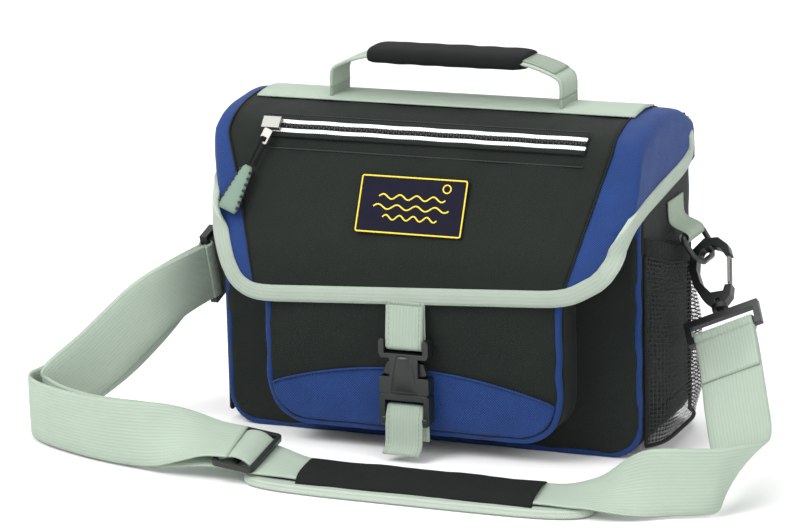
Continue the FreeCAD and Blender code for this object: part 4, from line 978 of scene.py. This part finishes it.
def nearest_run(point, places):
    """The run of a route that a point lies nearest to, and the share of that run it is along."""
    best = None
    for k in range(len(places) - 1):
        run = places[k + 1] - places[k]
        share = clamp((point - places[k]).dot(run) / run.length_squared)
        gap = (point - places[k].lerp(places[k + 1], share)).length
        if best is None or gap < best[0]:
            best = (gap, k, share)
    return best[1], best[2]


def evened(stations):
    """One round of smoothing of the way a strap's width points."""
    blended = [stations[0]]
    for a, b, c in zip(stations, stations[1:], stations[2:]):
        across = (a[1] + b[1] * 2 + c[1]).normalized()
        out = a[2] + b[2] * 2 + c[2]
        blended.append((b[0], across, (out - across * out.dot(across)).normalized()))
    return blended + [stations[-1]]


def strap(name, route, width, thickness, material, node):
    points = resample(route_points(name + "_route", route), 3.0)
    places = [Vector(p) for p, _, _ in route]
    hints = [Vector(a).normalized() for _, a, _ in route]
    stations = []
    for i, point in enumerate(points):
        tangent = tangent_at(points, i)
        k, share = nearest_run(point, places)
        hint = hints[k].lerp(hints[k + 1], share).normalized()
        keep = lerp(route[k][2], route[k + 1][2], share)
        square = (hint - tangent * hint.dot(tangent)).normalized()
        across = square.lerp(hint, keep).normalized()
        stations.append((point, across, tangent.cross(across).normalized()))
    for _ in range(4):
        stations = evened(stations)
    full = []
    for i, (point, across, out) in enumerate(stations):
        slant = abs(math.sin(across.angle(tangent_at(points, i))))
        full.append((point, across / max(0.72, slant), out))
    obj = sweep(name, full, strip_section(width, thickness, 0.3), material)
    bag_piece(obj, nodes=[node])
    length = sum((b - a).length for a, b in zip(points, points[1:]))
    return obj, points, length


def make_straps():
    main, main_line, main_length = strap("strap_ribbon", MAIN, 40.0, 1.9, "strap", "strap_main")
    back, back_line, back_length = strap("strap_return_ribbon", RETURN, 40.0, 1.9, "strap",
                                         "strap_return")
    main_line[0] * MM
    main_length * MM
    [p * MM for p in main_line]
    back_line[0] * MM
    back_length * MM
    [p * MM for p in back_line]
    make_strap_laps(main_line)


def make_strap_laps(main_line):
    """The strap's end turned back and sewn at its right frame, and its pass through the slider."""
    side = Vector(SIDE_RIGHT).normalized()
    line = [p for p in main_line if (p - main_line[0]).length < 33]
    stations = []
    for i, p in enumerate(line):
        out = tangent_at(line, i).cross(side).normalized()
        out = out if out.x > 0 or out.z > 0 else -out
        stations.append((p + out * 1.9, side, out))
    bag_piece(sweep("strap_lap", stations, strip_section(39, 1.6), "strap"))
    low, high = box_mm("strap_slider")
    middle = (low + high) / 2
    along, up = Vector((0.99, 0.02, -0.12)).normalized(), Vector((0.12, -0.2, 0.97)).normalized()
    wrap = [middle + along * x + up * z for x, z in
            ((-11, 0.6), (-8, 1.6), (-4, 3.6), (0, 4.2), (4, 3.6), (8, 1.6), (11, -1.2))]
    wrap = smooth_line(wrap, 2)
    bag_piece(sweep("slider_wrap", frames(wrap, up), strip_section(36, 1.6), "strap"))


# Each strap frame's lower bar: its middle, its own direction, and the way the strap leaves it.
FRAME_BARS = {"right": ((185.2, -20.6, 76.4), SIDE_RIGHT, (0.378, -0.613, -0.694)),
              "left": ((-159, -33.9, 95.6), SIDE_LEFT, (0, -0.96, -0.28))}


def make_frame_loops():
    """Webbing wrapped round each strap frame's lower bar, in front and behind."""
    for name, (middle, along, leaving) in FRAME_BARS.items():
        foot, side, away = Vector(middle), Vector(along).normalized(), Vector(leaving).normalized()
        out = side.cross(away).normalized()
        line = []
        for k in range(25):
            angle = math.pi * k / 24
            line.append(foot - away * 3.2 + out * (4.0 * math.cos(angle))
                        - away * (3.6 * math.sin(angle)))
        line = ([foot + away * 2.0 + out * 1.9] + [foot - away * 0.8 + out * 3.6] + line
                + [foot - away * 0.8 - out * 3.6, foot + away * 2.0 - out * 1.9])
        line = resample(smooth_line(line, 2), 0.9)
        loop = sweep("frame_loop_" + name, flat_stations(line, side), strip_section(39, 1.6), "strap")
        bag_piece(loop)


# ---- shoulder pad
def make_pad():
    low, high = box_mm("pad_binding")
    centre = (low + high) / 2
    half_x, half_y = (high.x - low.x) / 2, (high.y - low.y) / 2
    top = high.z + 1.0
    ring = 88

    def outline(share, k):
        """A point of the pad's rounded plan shape, drawn in towards its middle line."""
        angle = 2 * math.pi * k / ring
        a, b = math.cos(angle), math.sin(angle)
        x = (half_x - half_y * (1 - share)) * math.copysign(abs(a) ** 0.42, a)
        y = half_y * share * math.copysign(abs(b) ** 0.55, b)
        return centre.x + x, centre.y + y

    levels = [(0.30, top - 0.2), (0.55, top), (0.74, top - 0.4), (0.8, top - 1.4), (0.84, low.z + 1.0),
              (0.8, low.z + 0.3), (0.3, low.z + 0.2)]
    verts = []
    for share, z in levels:
        for k in range(ring):
            x, y = outline(share, k)
            verts.append(Vector((x, y, z + 0.3 * noise.noise(Vector((x, y, 0)) / 12))))
    foam = make_object("pad_foam", verts, ring_faces(len(levels), ring), "foam")
    bag_piece(foam, "pad", ["shoulder_pad"])
    edge, stations = [], []
    for k in range(ring):
        x, y = outline(0.985, k)
        edge.append(Vector((x, y, (low.z + top) / 2 - 0.2)))
    for i, point in enumerate(edge):
        tangent = (edge[(i + 1) % ring] - edge[i - 1]).normalized()
        stations.append((point, tangent.cross(Vector((0, 0, 1))), Vector((0, 0, 1))))
    section = [(-8.5, 2.9), (-4, 3.3), (-0.8, 2.6), (0.4, 0.6), (0.2, -1.6), (-1.0, -2.7), (-4, -2.9),
               (-8.5, -2.8), (-9.2, 0.0)]
    bag_piece(sweep("pad_edge_tape", stations, section, "binding", closed=True), "pad",
              ["pad_binding"])
    s_low, s_high = box_mm("pad_sleeve")
    rows = []
    for i in range(33):
        v = -1 + 2 * i / 32
        y = centre.y + (s_high.y - s_low.y) / 2 * v
        arch = 1 - abs(v) ** 5
        row = []
        for k in range(61):
            x = lerp(s_low.x - 3 * v, s_high.x - 3 * v, k / 60)
            ripple = 0.35 * math.sin(x * 0.12 + v) * arch
            row.append(Vector((x, y, s_low.z + 0.9 + (s_high.z - s_low.z - 0.4) * arch + ripple)))
        rows.append(row)
    cover = skin("sleeve_cover", rows, 1.2, "sleeve", 0.4, 20.0, facing=(0, 0, 1))
    bag_piece(cover, "pad", ["pad_sleeve"])


# ---- webbing tabs
# The straight bars of the D-rings, which the tabs wrap: the right one lies level, the left upright.
RIGHT_BAR_HEIGHT = 131.0
LEFT_BAR = (-148.5, 39.0)


def make_tabs():
    for name, side in (("right", 1), ("left", -1)):
        low, high = box_mm("ring_loop_" + name)
        if side > 0:
            bar = Vector((low.x + 12.4, (low.y + high.y) / 2, RIGHT_BAR_HEIGHT))
            wide, wall = Vector((0, 1, 0)), Vector((HALF + 1.2, bar.y, 0))
            line = [wall + Vector((0.6, 0, 153)), wall + Vector((0.8, 0, 144)),
                    wall + Vector((1.8, 0, 138.5)), bar + Vector((1.2, 0, 3.4))]
        else:
            bar = Vector((*LEFT_BAR, (low.z + high.z) / 2))
            wide = Vector((0, 0, 1))
            line = [Vector((-HALF - 5.2, 48, bar.z)), Vector((-HALF - 5.4, 44.4, bar.z)),
                    bar + Vector((-0.6, 3.4, 0))]
        start = line[-1] - bar
        begin = math.atan2(start.z, start.x) if side > 0 else math.atan2(start.y, start.x)
        for k in range(1, 15):
            angle = begin - side * k * math.pi * 1.55 / 14
            step = Vector((math.cos(angle), 0, math.sin(angle))) if side > 0 else \
                Vector((math.cos(angle), math.sin(angle), 0))
            line.append(bar + step * 3.1)
        line = resample(smooth_line(line, 2), 1.2)
        width = (high.y - low.y) if side > 0 else (high.z - low.z)
        tab = sweep("ring_tab_" + name, flat_stations(line, wide), strip_section(width, 1.5), "tab")
        bag_piece(tab, nodes=["ring_loop_" + name])


WRAP = 2.7  # radius of the webbing's middle where it goes round a buckle's bar


def make_buckle_straps():
    low, high = box_mm("socket_strap")
    bar_y, bar_z = (low.y + high.y) / 2, low.z + 3.4
    line = [Vector((0, high.y - 0.6, high.z + 3)), Vector((0, high.y - 0.8, bar_z + 3))]
    line += [Vector((0, bar_y + WRAP * math.cos(a), bar_z - WRAP * math.sin(a)))
             for a in [k * math.pi / 8 for k in range(10)]]
    line += [Vector((0, bar_y - 2.3, bar_z + 4)), Vector((0, high.y - 3.2, high.z + 1.0))]
    line = resample(smooth_line(line, 2), 1.0)
    stations = [(p, ACROSS, out) for p, _, out in frames(line, (0, -1, 0.2))]
    piece = sweep("socket_webbing", stations, strip_section(25, 1.5), "narrow")
    bag_piece(piece, "flap", ["socket_strap"])
    low, high = box_mm("lower_strap")
    plug_low, plug_high = box_mm("buckle_plug")
    bar_y, bar_z = (plug_low.y + plug_high.y) / 2, high.z - 3.4
    line = [Vector((0, high.y - 0.8, 10)), Vector((0, high.y - 1.0, 20)),
            Vector((0, bar_y + 4.4, 26)), Vector((0, bar_y + WRAP, bar_z))]
    line += [Vector((0, bar_y + WRAP * math.cos(a), bar_z + WRAP * math.sin(a)))
             for a in [k * math.pi / 8 for k in range(1, 9)]]
    line += [Vector((0, bar_y - 5.2, 26)), Vector((0, bar_y - 5.4, 14)), Vector((0, bar_y - 7, 8.5)),
             Vector((0, low.y + 0.8, 5.6))]
    line = resample(smooth_line(line, 2), 1.2)
    piece = sweep("lower_webbing", flat_stations(line, ACROSS), strip_section(25, 1.5), "narrow")
    bag_piece(piece, "plug", ["lower_strap"])


def make_buckle_ridge():
    """The raised arch down the socket's face, narrow at the strap and wide at the joint."""
    low, high = box_mm("buckle_socket")
    verts, count = [], 13
    for i in range(count):
        t = i / (count - 1)
        half = lerp(6.0, 9.6, t ** 1.4) * (1 - 0.25 * (1 - t) ** 6)
        z = lerp(high.z - 10.5, low.z + 0.6, t)
        rise = 2.3 * math.sin(math.pi * clamp(0.12 + 0.8 * t)) ** 0.5
        for k in range(count):
            angle = math.pi * k / (count - 1)
            verts.append(Vector((half * math.cos(angle), low.y + 0.4 - rise * math.sin(angle), z)))
    ridge = make_object("socket_ridge", verts, ring_faces(count, count), "plastic")
    bag_piece(ridge, "flap")
    low, high = box_mm("buckle_plug")
    lip = rounded_block("plug_lip", Vector((low.x + 1, low.y - 1.0, low.z)),
                        Vector((high.x - 1, low.y + 1.5, low.z + 5.5)), 1.2, "plastic")
    bag_piece(lip, "plug")


# ---- shown solids
SHOWN = {"buckle_socket": "plastic", "buckle_plug": "plastic", "prong_left": "plastic",
         "prong_right": "plastic", "d_ring_left": "plastic", "d_ring_right": "plastic",
         "hook_left": "black", "hook_right": "black", "gate_left": "steel", "gate_right": "steel",
         "swivel_frame_left": "black", "swivel_frame_right": "black", "strap_slider": "black",
         "badge": "patch", "zip_slider": "steel", "zip_tab": "steel", "pull_cord": "cord",
         "base_board": "board"}


def paint_solids():
    for node, material in SHOWN.items():
        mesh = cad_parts[node].data
        mesh.materials.clear()
        mesh.materials.append(MATERIALS[material])


# ---- stage
# Metres from here on. Each light: its name, place, size and power.
LIGHTS = [("key", (-0.9, -1.3, 1.7), 1.2, 34), ("fill", (1.6, -0.9, 0.9), 1.4, 12),
          ("top", (0.1, 0.4, 2.0), 1.6, 16)]
AIM = Vector((0, -0.05, 0.1))
VIEW_ANGLES = [math.radians(angle) for angle in (22.62, 14.13, -1.41)]  # round, above, roll
VIEW_TARGET, VIEW_DISTANCE, LENS = Vector((-0.039, 0, 0.099)), 2.276, 159.7


def make_stage():
    floor = bpy.data.meshes.new("floor")
    wide = 6.0
    floor.from_pydata([(-wide, -wide, 0), (wide, -wide, 0), (wide, wide, 0), (-wide, wide, 0)], [],
                      [(0, 1, 2, 3)])
    floor_obj = bpy.data.objects.new("floor", floor)
    bpy.context.collection.objects.link(floor_obj)
    s = Shader("floor_white")
    cloud = s.noise(2.0, 1.0)
    floor.materials.append(s.finish(s.mix(cloud, (0.93, 0.93, 0.93, 1), (0.95, 0.95, 0.95, 1)), 0.9))
    world = bpy.data.worlds.new("studio")
    bpy.context.scene.world = world
    world.use_nodes = True
    world.node_tree.nodes["Background"].inputs[0].default_value = (1.0, 1.0, 1.0, 1.0)
    world.node_tree.nodes["Background"].inputs[1].default_value = 0.85
    for name, place, size, power in LIGHTS:
        light = bpy.data.lights.new(name, "AREA")
        light.size = size
        light.energy = power
        obj = bpy.data.objects.new(name, light)
        obj.location = place
        aim = AIM - Vector(place)
        obj.rotation_euler = aim.to_track_quat("-Z", "Y").to_euler()
        bpy.context.collection.objects.link(obj)
    camera = bpy.data.cameras.new("camera")
    camera.lens = LENS
    camera.sensor_width = 36.0
    around, above, roll = VIEW_ANGLES
    back = Vector((math.sin(around) * math.cos(above), -math.cos(around) * math.cos(above),
                   math.sin(above)))
    right = (-back).cross(Vector((0, 0, 1))).normalized()
    up = right.cross(-back)
    right, up = (right * math.cos(roll) + up * math.sin(roll),
                 up * math.cos(roll) - right * math.sin(roll))
    obj = bpy.data.objects.new("camera", camera)
    turn = Matrix((right, up, back)).transposed().to_4x4()
    obj.matrix_world = Matrix.Translation(VIEW_TARGET + back * VIEW_DISTANCE) @ turn
    bpy.context.collection.objects.link(obj)
    bpy.context.scene.camera = obj
    bpy.context.scene.view_settings.view_transform = "Standard"


make_case()
make_pocket()
make_nets()
make_flap()
make_hinge_tape()
make_top_strip()
make_badge()
make_zip()
make_puller()
make_handle()
make_straps()
make_frame_loops()
make_pad()
make_tabs()
make_buckle_straps()
make_buckle_ridge()
paint_solids()
make_stage()
